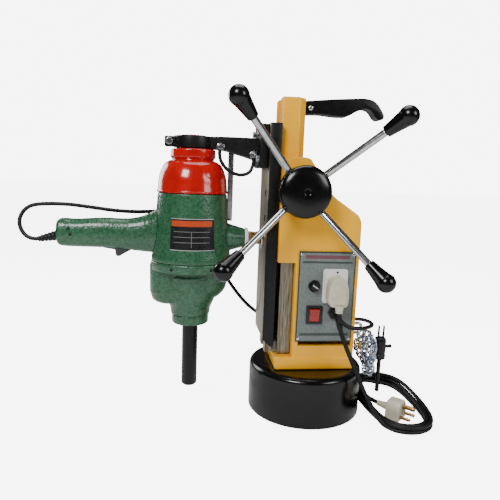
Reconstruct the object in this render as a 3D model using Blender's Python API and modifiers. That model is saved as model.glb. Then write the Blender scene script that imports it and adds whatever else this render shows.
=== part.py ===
"""Magnetic drill press: a round electromagnet carries a column whose dovetail slide holds an electric drill.

Metres, +Z up. The origin is the centre of the magnet's bottom face. -X is towards the drill, +X towards the
carry handle, and -Y is the side with the control panel and the feed wheel.
"""

import math

import bmesh
import bpy
from mathutils import Vector

# Driving dimensions
GAP = 0.0003  # running and seating gap between neighbouring pieces
BASE_RADIUS = 0.0875
BASE_HEIGHT = 0.075
COIL_INNER, COIL_OUTER, COIL_TOP = 0.040, 0.066, 0.042
BODY_HALF_WIDTH = 0.046  # gear housing and control box, along Y
BODY_RIGHT = 0.0626
COLUMN_LEFT, COLUMN_RIGHT, COLUMN_TOP = -0.058, -0.023, 0.472
COLUMN_HALF_WIDTH = 0.027
FLANGE_TOP = 0.095
PANEL_FRONT = -BODY_HALF_WIDTH - GAP - 0.0025

SLIDE_FRONT, SLIDE_BACK, SLIDE_SLOT = -0.076, -0.059, -0.070
SLIDE_HALF_WIDTH = 0.040
SLIDE_BOTTOM, SLIDE_TOP = 0.109, 0.434
WAY_BOTTOM, WAY_TOP = 0.0955, 0.434
WAY_NECK_X, WAY_TIP_X = -0.0585, -0.0696
WAY_NECK_Y, WAY_TIP_Y = 0.020, 0.027
RACK_HALF_WIDTH = 0.007

FEED_X, FEED_Z = -0.031, 0.340
FEED_MODULE, FEED_TEETH = 0.002, 14
FEED_RADIUS = FEED_MODULE * FEED_TEETH / 2
SPOKE_COUNT, SPOKE_ANGLE, SPOKE_RADIUS = 4, math.radians(41.6), 0.005
SPOKE_START = Vector((0.024, -0.071))  # radius and Y where a spoke bottoms in the hub
KNOB_CENTRE = Vector((0.150, -0.134))  # radius and Y of a ball knob's centre
KNOB_RADIUS = 0.013
KNOB_NECK = 0.033  # from a knob's centre back to its open end

MOTOR_X = -0.1824
SPINDLE_RADIUS, SPINDLE_BOTTOM = 0.01184, 0.0365
LAYSHAFT_X = MOTOR_X - 0.030
FIRST_MODULE, FIRST_PINION, FIRST_WHEEL = 0.00125, 12, 36
SECOND_MODULE, SECOND_PINION, SECOND_WHEEL = 0.00125, 14, 34
SUPPORT_Z = 0.267  # height of the side boss and its stud
CASE_DEPTH = 0.62  # the gear case's shoulders are this much shallower than they are wide

CORD_RADIUS, MAINS_RADIUS = 0.003, 0.00325
COIL_CENTRE = Vector((0.1402, -0.0165, 0.0088))
COIL_TURN, COIL_STRAIGHT = 0.0415, 0.047  # radius of the ends and half of a straight run
COIL_SECTION = 0.0085
PLUG_CENTRE = Vector((0.1325, -0.0570, 0.0))
PLUG_HALF_WIDTH, PLUG_HEIGHT, PLUG_DEPTH, PLUG_TURN = 0.0165, 0.030, 0.022, math.radians(45)

bpy.ops.object.select_all(action="DESELECT")
for old in list(bpy.data.objects):
    bpy.data.objects.remove(old, do_unlink=True)

parts = bpy.data.collections.new("magnetic_drill_press")
helpers = bpy.data.collections.new("cutters")
for collection in (parts, helpers):
    bpy.context.scene.collection.children.link(collection)
helpers.hide_render = True


# Materials
def paint(name, colour, roughness=0.4, metallic=0.0):
    material = bpy.data.materials.new(name)
    material.use_nodes = True
    shader = material.node_tree.nodes["Principled BSDF"]
    shader.inputs["Base Color"].default_value = (*colour, 1)
    shader.inputs["Roughness"].default_value = roughness
    shader.inputs["Metallic"].default_value = metallic
    material.diffuse_color = (*colour, 1)
    return material


yellow = paint("yellow_paint", (0.83, 0.42, 0.01), 0.35)
gloss_black = paint("gloss_black_paint", (0.01, 0.01, 0.01), 0.2)
slide_black = paint("black_paint", (0.02, 0.02, 0.022), 0.4)
green = paint("green_hammered_paint", (0.06, 0.20, 0.09), 0.35)
red = paint("red_gloss_paint", (0.52, 0.01, 0.01), 0.25)
panel_grey = paint("grey_hammered_panel", (0.17, 0.21, 0.20), 0.45)
black_plastic = paint("black_plastic", (0.015, 0.015, 0.015), 0.4)
trigger_grey = paint("dark_grey_plastic", (0.05, 0.05, 0.055), 0.5)
white_plastic = paint("white_plastic", (0.82, 0.82, 0.80), 0.35)
cream_plastic = paint("cream_plastic", (0.72, 0.68, 0.52), 0.4)
red_lens = paint("red_rocker", (0.6, 0.02, 0.02), 0.25)
steel = paint("machined_steel", (0.45, 0.45, 0.43), 0.35, 1.0)
polished_steel = paint("polished_steel", (0.70, 0.70, 0.70), 0.15, 1.0)
dark_steel = paint("black_oxide_steel", (0.03, 0.03, 0.03), 0.4, 1.0)
brass = paint("brass", (0.65, 0.45, 0.15), 0.3, 1.0)
resin = paint("potting_resin", (0.10, 0.06, 0.02), 0.5)
rubber = paint("black_rubber", (0.02, 0.02, 0.02), 0.6)


# Placing and joining
def empty(name, at):
    """A joint frame: an empty on the axis of the pieces parented to it."""
    axis = bpy.data.objects.new(name, None)
    axis.location = at
    axis.empty_display_size = 0.02
    parts.objects.link(axis)
    return axis


def add(name, data, material, joint=None, at=(0, 0, 0), rotation=None, collection=parts):
    """An object at a world position, parented to its joint's empty."""
    obj = bpy.data.objects.new(name, data)
    collection.objects.link(obj)
    obj.location = Vector(at) - (joint.location if joint else Vector())
    if rotation is not None:
        obj.rotation_mode = "QUATERNION"
        obj.rotation_quaternion = rotation
    obj.parent = joint
    if material is not None:
        data.materials.append(material)
    return obj


def aim(direction):
    """The rotation that turns local +Z to a direction."""
    return Vector(direction).to_track_quat("Z", "Y")


def mesh_of(name, build):
    mesh = bpy.data.meshes.new(name)
    work = bmesh.new()
    build(work)
    work.to_mesh(mesh)
    work.free()
    return mesh


def round_edges(obj, width, segments=1, angle=35):
    bevel = obj.modifiers.new("Rounded edges", "BEVEL")
    bevel.width = width
    bevel.segments = segments
    bevel.limit_method = "ANGLE"
    bevel.angle_limit = math.radians(angle)
    return obj


def box(name, low, high, material, joint=None, rounded=0.0, collection=parts):
    low, high = Vector(low), Vector(high)
    size = high - low

    def build(work):
        bmesh.ops.create_cube(work, size=1)
        bmesh.ops.scale(work, vec=size, verts=work.verts)

    obj = add(name, mesh_of(name, build), material, joint, (low + high) / 2, None, collection)
    return round_edges(obj, rounded) if rounded else obj


def cylinder(name, start, end, radius, material, joint=None, steps=24, far_radius=None, collection=parts):
    """A cylinder or a cone from one point to another."""
    start, end = Vector(start), Vector(end)
    far_radius = radius if far_radius is None else far_radius

    def build(work):
        bmesh.ops.create_cone(work, cap_ends=True, segments=steps, radius1=radius, radius2=far_radius,
                              depth=(end - start).length)

    mesh = mesh_of(name, build)
    mesh.shade_smooth()
    mesh.set_sharp_from_angle(angle=math.radians(35))
    return add(name, mesh, material, joint, (start + end) / 2, aim(end - start), collection)


def turned(name, profile, material, joint=None, at=(0, 0, 0), along=(0, 0, 1), steps=32, collection=parts):
    """A turned shape. The profile is (radius, height) points that run down the outer side, top to bottom."""
    touches_axis = profile[0][0] == 0 and profile[-1][0] == 0

    def build(work):
        verts = [work.verts.new((radius, 0, height)) for radius, height in profile]
        pairs = list(zip(verts, verts[1:]))
        if not touches_axis:
            pairs.append((verts[-1], verts[0]))
        for pair in pairs:
            work.edges.new(pair)

    obj = add(name, mesh_of(name, build), material, joint, at, aim(along), collection)
    screw = obj.modifiers.new("Turned", "SCREW")
    screw.steps = screw.render_steps = steps
    screw.use_merge_vertices = True
    screw.merge_threshold = 0.00002
    screw.use_smooth_shade = True
    return obj


QUARTER = math.radians(90)
PLANE_TURNS = {"XY": (0, 0, 0), "XZ": (QUARTER, 0, 0), "YZ": (QUARTER, 0, QUARTER)}


def plate(name, outline, plane, low, high, material, joint=None, rounded=0.0, at=(0, 0), collection=parts,
          segments=1):
    """A flat outline with thickness, drawn in one plane and running from low to high along the third axis."""
    curve = bpy.data.curves.new(name, "CURVE")
    curve.dimensions = "2D"
    curve.fill_mode = "BOTH"
    curve.extrude = (high - low) / 2
    spline = curve.splines.new("POLY")
    spline.points.add(len(outline) - 1)
    for point, (across, up) in zip(spline.points, outline):
        point.co = (across, up, 0, 1)
    spline.use_cyclic_u = True
    middle = (low + high) / 2
    places = {"XY": (*at, middle), "XZ": (at[0], middle, at[1]), "YZ": (middle, *at)}
    guide = add(name + "_outline", curve, None, None, places[plane], None, helpers)
    guide.rotation_euler = PLANE_TURNS[plane]
    return solid_from_curve(guide, name, material, joint, rounded, collection, segments)


def solid_from_curve(guide, name, material, joint=None, rounded=0.0, collection=parts, segments=1):
    """A mesh object made from a curve, with its caps welded to its sides."""
    bpy.context.view_layer.update()
    graph = bpy.context.evaluated_depsgraph_get()
    mesh = bpy.data.meshes.new_from_object(guide.evaluated_get(graph), depsgraph=graph)
    mesh.name = name
    work = bmesh.new()
    work.from_mesh(mesh)
    bmesh.ops.remove_doubles(work, verts=work.verts, dist=0.000001)
    bmesh.ops.recalc_face_normals(work, faces=work.faces)
    work.to_mesh(mesh)
    work.free()
    mesh.materials.clear()
    world = guide.matrix_world.copy()
    bpy.data.objects.remove(guide, do_unlink=True)
    obj = add(name, mesh, material, joint, world.translation, world.to_quaternion(), collection)
    return round_edges(obj, rounded, segments) if rounded else obj


def tube(name, points, radius, material, joint=None, resolution=3, closed=False):
    """A round tube along a list of points, with flat ends."""
    curve = bpy.data.curves.new(name, "CURVE")
    curve.dimensions = "3D"
    curve.bevel_depth = radius
    curve.bevel_resolution = resolution
    curve.use_fill_caps = not closed
    spline = curve.splines.new("POLY")
    spline.points.add(len(points) - 1)
    for point, place in zip(spline.points, points):
        point.co = (*(Vector(place) - (joint.location if joint else Vector())), 1)
    spline.use_cyclic_u = closed
    return add(name, curve, material, joint, joint.location if joint else (0, 0, 0))


def combine(obj, other, operation):
    if other.name not in helpers.objects:
        for collection in list(other.users_collection):
            collection.objects.unlink(other)
        helpers.objects.link(other)
    other.hide_render = True
    other.display_type = "WIRE"
    boolean = obj.modifiers.new(operation.title() + " " + other.name, "BOOLEAN")
    boolean.operation = operation
    boolean.object = other
    return obj


def cut(obj, *cutters):
    for cutter in cutters:
        combine(obj, cutter, "DIFFERENCE")
    return obj


def join(obj, *others):
    for other in others:
        combine(obj, other, "UNION")
    return obj


def cutting_box(name, low, high):
    return box(name, low, high, None, collection=helpers)


def cutting_cylinder(name, start, end, radius, steps=24, far_radius=None):
    return cylinder(name, start, end, radius, None, None, steps, far_radius, helpers)


def arc(centre, radius, start, end, count):
    """Points on an arc, in degrees, ends included."""
    angles = [math.radians(start + (end - start) * i / (count - 1)) for i in range(count)]
    return [(centre[0] + radius * math.cos(a), centre[1] + radius * math.sin(a)) for a in angles]


def smooth_route(points, spacing):
    """Points at an even spacing along a smooth curve through a route's points."""
    knots = [Vector(p) for p in points]
    knots = [2 * knots[0] - knots[1]] + knots + [2 * knots[-1] - knots[-2]]
    fine = []
    for a, b, c, d in zip(knots, knots[1:], knots[2:], knots[3:]):
        for i in range(20):
            t = i / 20
            fine.append(0.5 * (2 * b + (c - a) * t + (2 * a - 5 * b + 4 * c - d) * t * t
                               + (3 * b - a - 3 * c + d) * t ** 3))
    fine.append(knots[-2])
    lengths = [0.0]
    for a, b in zip(fine, fine[1:]):
        lengths.append(lengths[-1] + (b - a).length)
    count = max(2, round(lengths[-1] / spacing))
    route, i = [], 0
    for n in range(count + 1):
        target = lengths[-1] * n / count
        while i < len(fine) - 2 and lengths[i + 1] < target:
            i += 1
        share = (target - lengths[i]) / (lengths[i + 1] - lengths[i])
        route.append(fine[i].lerp(fine[i + 1], share))
    return route


# Gears
def gear_outline(module, teeth, first_angle, flank_points=2, thinned=0.16):
    """An involute gear's outline, with a tooth centred on first_angle and its flanks thinned for backlash."""
    pressure = math.radians(20)
    pitch = module * teeth / 2
    base = pitch * math.cos(pressure)
    tip, root = pitch + 0.9 * module, pitch - 1.25 * module
    half = math.pi / (2 * teeth) - thinned * module / pitch

    def involute(radius):
        if radius <= base:
            return 0.0
        alpha = math.acos(base / radius)
        return math.tan(alpha) - alpha

    flank = [root, (pitch + tip) / 2, tip] if flank_points == 3 else [root, tip]
    outline = []
    for tooth in range(teeth):
        middle = first_angle + 2 * math.pi * tooth / teeth
        spread = [half + involute(pitch) - involute(radius) for radius in flank]
        for radius, angle in list(zip(flank, spread)):
            outline.append((radius * math.cos(middle - angle), radius * math.sin(middle - angle)))
        for radius, angle in list(zip(flank, spread))[::-1]:
            outline.append((radius * math.cos(middle + angle), radius * math.sin(middle + angle)))
    return outline


def rack_outline(back, pitch_line, low, high, tooth_height):
    """A rack's side view: its back is straight, and a tooth space is centred on tooth_height."""
    pitch = math.pi * FEED_MODULE
    slope = math.tan(math.radians(20))
    tip, root = pitch_line + 0.9 * FEED_MODULE, pitch_line - 1.25 * FEED_MODULE
    tip_half = pitch / 4 - 0.9 * FEED_MODULE * slope - 0.0003
    root_half = pitch / 4 + 1.25 * FEED_MODULE * slope - 0.0003
    outline = [(back, high), (back, low), (root, low)]
    first = math.ceil((low - tooth_height) / pitch + 0.5)
    last = math.floor((high - tooth_height) / pitch - 0.5)
    for n in range(first, last):
        middle = tooth_height + (n + 0.5) * pitch
        outline += [(root, middle - root_half), (tip, middle - tip_half),
                    (tip, middle + tip_half), (root, middle + root_half)]
    return outline + [(root, high)]


# Joint frames
slide_frame = empty("slide_frame", (SLIDE_FRONT, 0, SLIDE_BOTTOM))
feed_axis = empty("feed_axis", (FEED_X, 0, FEED_Z))
spindle_axis = empty("spindle_axis", (MOTOR_X, 0, SPINDLE_BOTTOM))
armature_axis = empty("armature_axis", (MOTOR_X, 0, 0.30))
layshaft_axis = empty("layshaft_axis", (LAYSHAFT_X, 0, 0.20))
trigger_frame = empty("trigger_frame", (-0.290, 0, 0.2465))
rocker_pivot = empty("rocker_pivot", (-0.002, -0.0505, 0.161))
fuse_axis = empty("fuse_axis", (-0.0039, -0.05, 0.204))


# The magnet
def magnet():
    pot = turned("magnet_pot", [
        (0, BASE_HEIGHT), (0.0785, BASE_HEIGHT), (0.0835, 0.0735), (0.0868, 0.0700), (BASE_RADIUS, 0.0665),
        (BASE_RADIUS, 0.0015), (0.086, 0), (COIL_OUTER, 0), (COIL_OUTER, COIL_TOP),
        (COIL_INNER, COIL_TOP), (COIL_INNER, 0), (0, 0)], gloss_black, steps=40)
    lead_hole = cutting_cylinder("coil_lead_hole", (0.045, 0.02, 0.03), (0.045, 0.02, 0.125), 0.004, 12)
    cut(pot, lead_hole)
    turned("magnet_coil", [
        (COIL_OUTER - GAP, COIL_TOP - GAP), (COIL_OUTER - GAP, GAP), (COIL_INNER + GAP, GAP),
        (COIL_INNER + GAP, COIL_TOP - GAP)], resin, steps=28)
    return lead_hole


def way_section():
    """Half of the dovetail's section, at +Y, from the rack channel outwards."""
    return [(-0.0450, 0.0085), (-0.0450, 0.022), (WAY_NECK_X, 0.022), (WAY_NECK_X, WAY_NECK_Y),
            (WAY_TIP_X, WAY_TIP_Y), (WAY_TIP_X, 0.0085)]


def column(lead_hole):
    """The yellow casting: foot flange, control box, gear housing and column in one piece."""
    housing = [(-0.0585, 0.2367), (-0.032, 0.2367), (-0.032, BASE_HEIGHT + GAP),
               (BODY_RIGHT, BASE_HEIGHT + GAP), (BODY_RIGHT, 0.305), (0.017, 0.335)]
    housing += arc((-0.031, 0.345), 0.043, 72, 129, 5) + [(-0.0585, 0.352)]
    casting = plate("column_casting", housing, "XZ", -BODY_HALF_WIDTH, BODY_HALF_WIDTH, yellow, rounded=0.002)
    post = plate("column_post", [
        (COLUMN_LEFT, -COLUMN_HALF_WIDTH), (-0.033, -COLUMN_HALF_WIDTH), (COLUMN_RIGHT, -0.018),
        (COLUMN_RIGHT, 0.018), (-0.033, COLUMN_HALF_WIDTH), (COLUMN_LEFT, COLUMN_HALF_WIDTH)],
        "XY", 0.30, COLUMN_TOP, None, collection=helpers)
    flange = box("foot_flange", (-0.057, -0.048, BASE_HEIGHT + GAP), (0.0612, 0.048, FLANGE_TOP), None,
                 rounded=0.003, collection=helpers)
    join(casting, post, flange)
    way_seat = cutting_box("way_seat", (-0.060, -0.0223, 0.2), (-0.0447, 0.0223, WAY_TOP + GAP))
    rack_channel = cutting_box("rack_channel", (-0.061, -0.0088, 0.2), (-0.0425, 0.0088, 0.48))
    pinion_pocket = cutting_cylinder("pinion_pocket", (FEED_X, -0.0088, FEED_Z), (FEED_X, 0.0088, FEED_Z),
                                     0.0175)
    shaft_bore = cutting_cylinder("shaft_bore", (FEED_X, -0.06, FEED_Z), (FEED_X, 0.06, FEED_Z), 0.0093)
    control_space = cutting_box("control_space", (-0.0235, -0.06, 0.112), (0.0575, 0.038, 0.250))
    cut(casting, way_seat, rack_channel, pinion_pocket, shaft_bore, control_space, lead_hole)


def dovetail_way():
    half = way_section()
    other = [(x, -y) for x, y in half][::-1]
    rail = plate("dovetail_way", half, "XY", WAY_BOTTOM, WAY_TOP, steel)
    rail_2 = plate("second_rail", other, "XY", WAY_BOTTOM, WAY_TOP, None, collection=helpers)
    block = plate("way_block", [
        (-0.052, -0.034), (-0.0333, -0.034), (-0.0333, 0.034), (-0.052, 0.034), (-0.052, 0.0085),
        (-0.0425, 0.0085), (-0.0425, -0.0085), (-0.052, -0.0085)],
        "XY", WAY_BOTTOM, 0.2362, None, collection=helpers)
    join(rail, rail_2, block)


# The slide and its rack
def flank(x, outwards):
    """Y of the dovetail's sloped flank at x, moved outwards."""
    share = (x - WAY_NECK_X) / (WAY_TIP_X - WAY_NECK_X)
    return WAY_NECK_Y + share * (WAY_TIP_Y - WAY_NECK_Y) + outwards


def slide():
    gib_room = 0.0048
    section = [
        (SLIDE_FRONT, -SLIDE_HALF_WIDTH), (SLIDE_BACK, -SLIDE_HALF_WIDTH),
        (SLIDE_BACK, -flank(SLIDE_BACK, 0.0004)),
        (SLIDE_SLOT, -flank(SLIDE_SLOT, 0.0004)), (SLIDE_SLOT, flank(SLIDE_SLOT, gib_room)),
        (SLIDE_BACK, flank(SLIDE_BACK, gib_room)), (SLIDE_BACK, SLIDE_HALF_WIDTH),
        (SLIDE_FRONT, SLIDE_HALF_WIDTH)]
    body = plate("slide", section, "XY", SLIDE_BOTTOM, SLIDE_TOP, slide_black, slide_frame, rounded=0.0008)
    toe = plate("slide_toe", [(-0.077, 0.108), (-0.0635, 0.108), (-0.077, 0.1215)], "XZ", -0.05, 0.05, None,
                collection=helpers)
    stud_hole = cutting_cylinder("stud_hole", (-0.080, 0, SUPPORT_Z), (-0.0715, 0, SUPPORT_Z), 0.0053, 16)
    cut(body, toe, stud_hole)
    for n, height in enumerate((0.298, 0.335)):
        cut(body, cutting_cylinder(f"rack_screw_hole_{n + 1}", (-0.080, -0.0145, height),
                                   (-0.0725, -0.0145, height), 0.0048, 16))
    plate("rack", rack_outline(-0.0697, FEED_X - FEED_RADIUS, 0.175, 0.398, FEED_Z), "XZ",
          -RACK_HALF_WIDTH, RACK_HALF_WIDTH, steel, slide_frame)
    near, far = 0.0004, 0.0044
    plate("gib_strip", [
        (SLIDE_BACK - GAP, flank(SLIDE_BACK, near)), (SLIDE_BACK - GAP, flank(SLIDE_BACK, far)),
        (WAY_TIP_X, flank(WAY_TIP_X, far)), (WAY_TIP_X, flank(WAY_TIP_X, near))],
        "XY", 0.112, 0.431, brass, slide_frame)


# The feed wheel
def feed_wheel():
    shaft = cylinder("pinion_shaft", (FEED_X, 0.050, FEED_Z), (FEED_X, -0.0855, FEED_Z), 0.006, steel,
                     feed_axis, 20)
    gear = plate("feed_pinion", gear_outline(FEED_MODULE, FEED_TEETH, math.pi, 3), "XZ", -0.0076, 0.0076,
                 None,
                 at=(FEED_X, FEED_Z), collection=helpers)
    join(shaft, gear)
    hub = turned("feed_hub", [
        (0, 0.0915), (0.020, 0.0910), (0.029, 0.0893), (0.0345, 0.0860), (0.0362, 0.0815), (0.0362, 0.0690),
        (0.0335, 0.0635), (0.029, 0.0622), (0.016, 0.0615), (0.0155, 0.0525), (0.0063, 0.0525),
        (0.0063, 0.0859),
        (0, 0.0859)], gloss_black, feed_axis, (FEED_X, 0, FEED_Z), (0, -1, 0), 28)
    for n in range(SPOKE_COUNT):
        angle = SPOKE_ANGLE + math.tau * n / SPOKE_COUNT
        out = Vector((math.cos(angle), 0, math.sin(angle)))

        def on_spoke(point):
            return Vector((FEED_X, point[1], FEED_Z)) + out * point[0]

        start, ball = on_spoke(SPOKE_START), on_spoke(KNOB_CENTRE)
        along = (ball - start).normalized()
        cut(hub, cutting_cylinder(f"spoke_socket_{n + 1}", start, start + along * 0.03, SPOKE_RADIUS + GAP,
                                  16))
        cylinder(f"spoke_{n + 1}", start + along * GAP, ball - along * 0.0035, SPOKE_RADIUS, polished_steel,
                 feed_axis, 16)
        profile = [(0, KNOB_RADIUS)] + arc((0, 0), KNOB_RADIUS, 68, -28, 5) + [
            (0.0095, -0.0190), (0.0076, -KNOB_NECK), (SPOKE_RADIUS + GAP, -KNOB_NECK),
            (SPOKE_RADIUS + GAP, -0.0032), (0, -0.0032)]
        turned(f"knob_{n + 1}", profile, gloss_black, feed_axis, ball, along, 12)


def shaft_bushes():
    """Flanged bronze bushes that carry the pinion shaft in the gear housing's walls."""
    for name, side in (("front_bush", -1), ("rear_bush", 1)):
        turned(name, [(0.013, 0.0495), (0.013, BODY_HALF_WIDTH + GAP), (0.009, BODY_HALF_WIDTH + GAP),
                      (0.009, 0.020), (0.0063, 0.020), (0.0063, 0.0495)],
               brass, None, (FEED_X, 0, FEED_Z), (0, side, 0), 16)


# The control panel
def control_panel():
    front, back = PANEL_FRONT, -BODY_HALF_WIDTH - GAP
    panel = box("control_panel", (-0.0279, front, 0.1192), (0.0564, back, 0.2548), panel_grey, rounded=0.0006)
    fuse_at, switch_at, gland_at = (-0.0039, 0.204), (-0.002, 0.161), (0.0286, 0.1646)
    cut(panel,
        cutting_cylinder("fuse_hole", (fuse_at[0], -0.06, fuse_at[1]), (fuse_at[0], -0.04, fuse_at[1]),
                         0.0062, 20),
        cutting_cylinder("gland_hole", (gland_at[0], -0.06, gland_at[1]), (gland_at[0], -0.04, gland_at[1]),
                         0.0068,
                         20),
        cutting_box("switch_hole", (switch_at[0] - 0.0098, -0.06, switch_at[1] - 0.0113),
                    (switch_at[0] + 0.0098, -0.04, switch_at[1] + 0.0113)),
        cutting_box("outlet_hole", (0.0145, -0.06, 0.186), (0.0395, -0.04, 0.222)))

    turned("fuse_holder", [
        (0.008, 0.0535), (0.008, -front + GAP), (0.0059, -front + GAP), (0.0059, 0.020), (0.0, 0.020),
        (0.0, 0.022), (0.0045, 0.022), (0.0045, 0.0535)], black_plastic, None,
        (fuse_at[0], 0, fuse_at[1]), (0, -1, 0), 24)
    cap = turned("fuse_cap", [
        (0, 0.0585), (0.0055, 0.0583), (0.0065, 0.0575), (0.0065, 0.0538), (0.0042, 0.0538), (0.0042, 0.046),
        (0, 0.046)], dark_steel, fuse_axis, (fuse_at[0], 0, fuse_at[1]), (0, -1, 0), 20)
    cut(cap, cutting_box("fuse_cap_slot", (fuse_at[0] - 0.005, -0.06, fuse_at[1] - 0.0006),
                         (fuse_at[0] + 0.005, -0.0572, fuse_at[1] + 0.0006)))

    frame = box("switch_body", (switch_at[0] - 0.012, -0.0518, switch_at[1] - 0.0135),
                (switch_at[0] + 0.012, front - GAP, switch_at[1] + 0.0135), black_plastic)
    join(frame, box("switch_rear", (switch_at[0] - 0.0095, -0.0500, switch_at[1] - 0.0110),
                    (switch_at[0] + 0.0095, -0.026, switch_at[1] + 0.0110), None, collection=helpers))
    cut(frame, cutting_box("rocker_well", (switch_at[0] - 0.0078, -0.06, switch_at[1] - 0.0106),
                           (switch_at[0] + 0.0078, -0.0435, switch_at[1] + 0.0106)))
    power_rocker()

    outlet = box("outlet_socket", (0.008, -0.0585, 0.179), (0.0445, front - GAP, 0.2300), white_plastic,
                 rounded=0.0025)
    join(outlet, box("outlet_rear", (0.0148, -0.052, 0.1863), (0.0392, -0.030, 0.2217), None,
                     collection=helpers))
    turned("cord_gland", [
        (0.0045, 0.0605), (0.0062, 0.0600), (0.0078, 0.0575), (0.0082, 0.0540), (0.0100, 0.0540),
        (0.0100, -front + GAP), (0.0065, -front + GAP), (0.0065, 0.036), (0.0045, 0.036)], black_plastic,
           None,
        (gland_at[0], 0, gland_at[1]), (0, -1, 0), 14)


def power_rocker():
    """The red rocker: its pivot runs along X, and it rests tipped one way."""
    half, proud, back, rest_tilt = 0.0096, -0.0035, 0.0055, math.radians(8)
    side_view = [(back, -0.004), (0, -half), (proud, -half), (proud + 0.0012, 0), (proud, half), (0, half),
                 (back, 0.004)]
    tipped = [(y * math.cos(rest_tilt) - z * math.sin(rest_tilt),
               y * math.sin(rest_tilt) + z * math.cos(rest_tilt))
              for y, z in side_view]
    pivot = rocker_pivot.location
    x = pivot.x
    plate("power_rocker", tipped, "YZ", x - 0.0075, x + 0.0075, red_lens, rocker_pivot, at=(pivot.y, pivot.z))


def control_internals():
    """What the control box holds behind its panel: the rectifier that feeds the magnet."""
    box("rectifier", (0.010, 0.0255, 0.150), (0.040, 0.0377, 0.180), black_plastic, rounded=0.001)


# The drill's mounting
def drill_arm():
    block = box("drill_arm", (-0.0888, -0.030, 0.371), (SLIDE_FRONT - GAP, 0.030, 0.433), slide_black,
                slide_frame,
                rounded=0.0015)
    reach = plate("arm_reach", [
        (-0.085, 0.381), (-0.136, 0.394), (-0.162, 0.396), (-0.162, 0.4125), (-0.136, 0.4135),
        (-0.085, 0.4135)][::-1],
        "XZ", -0.014, 0.014, None, collection=helpers)
    ring = cylinder("clamp_ring", (MOTOR_X, 0, 0.396), (MOTOR_X, 0, 0.4125), 0.028, None, None, 36,
                    collection=helpers)
    lug = box("clamp_lug", (-0.2235, -0.010, 0.397), (-0.205, 0.010, 0.4115), None, collection=helpers)
    bore = cutting_cylinder("clamp_bore", (MOTOR_X, 0, 0.39), (MOTOR_X, 0, 0.42), 0.0203, 32)
    split = cutting_box("clamp_split", (-0.23, -0.0015, 0.39), (-0.195, 0.0015, 0.42))
    bolt_hole = cutting_cylinder("clamp_bolt_hole", (-0.2165, -0.02, 0.4042), (-0.2165, 0.02, 0.4042),
                                 0.0029, 12)
    join(block, reach, ring, lug)
    cut(block, bore, split, bolt_hole)
    bolt = cylinder("clamp_bolt", (-0.2165, -0.012, 0.4042), (-0.2165, 0.0145, 0.4042), 0.0026,
                    polished_steel,
                    slide_frame, 12)
    head = cylinder("clamp_bolt_head", (-0.2165, -0.0145, 0.4042), (-0.2165, -0.0103, 0.4042), 0.005, None,
                    None, 12,
                    collection=helpers)
    join(bolt, head)
    box("brace_bar", (-0.1300, 0.0143, 0.2900), (-0.1215, 0.0193, 0.4050), steel, slide_frame, rounded=0.0008)


ARM_LEAD = [
    (-0.1440, -0.0178, 0.3985), (-0.1452, -0.0178, 0.3890), (-0.1420, -0.0180, 0.3770),
    (-0.1310, -0.0182, 0.3650),
    (-0.1150, -0.0183, 0.3600), (-0.1020, -0.0182, 0.3640), (-0.0965, -0.0180, 0.3755),
    (-0.0960, -0.0178, 0.3890)]


def arm_lead():
    """A short lead looped under the arm, held at both ends by eyelets on the arm's face."""
    route = smooth_route(ARM_LEAD, 0.007)
    lead = solid_from_curve(tube("arm_lead_route", route, 0.0026, None, None, 2), "arm_lead", rubber,
                            slide_frame)
    for n, end in enumerate((route[0], route[-1])):
        join(lead, cylinder(f"lead_eyelet_{n + 1}", (end.x, -0.0206, end.z), (end.x, -0.0143, end.z),
                            0.0056, None,
                            None, 16, collection=helpers))


def side_support():
    """The lower mounting: a stud from the motor's side boss through a spacer into the slide."""
    z = SUPPORT_Z
    stud = cylinder("support_stud", (-0.120, 0, z), (-0.0718, 0, z), 0.005, polished_steel, slide_frame, 16)
    join(stud, cylinder("stud_collar", (-0.0796, 0, z), (-0.0763, 0, z), 0.016, None, None, 28,
                        collection=helpers))
    bore = 0.0053
    for name, outer, high, low, material, steps in (
            ("support_spacer", 0.00975, 0.0984, 0.0799, brass, 24),
            ("boss_washer", 0.015, 0.1037, 0.0987, polished_steel, 28)):
        turned(name, [(outer, high), (outer, low), (bore, low), (bore, high)], material, slide_frame,
               (0, 0, z), (-1, 0, 0), steps)


# The drill
def motor_profile(clearance=0.0):
    """The green housing's outer side, top to bottom."""
    return [(radius + clearance, height) for radius, height in (
        (0.0508, 0.3310), (0.0522, 0.305), (0.0542, 0.275), (0.0563, 0.252), (0.0584, 0.2362),
        (0.0584, 0.2325))]


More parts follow.
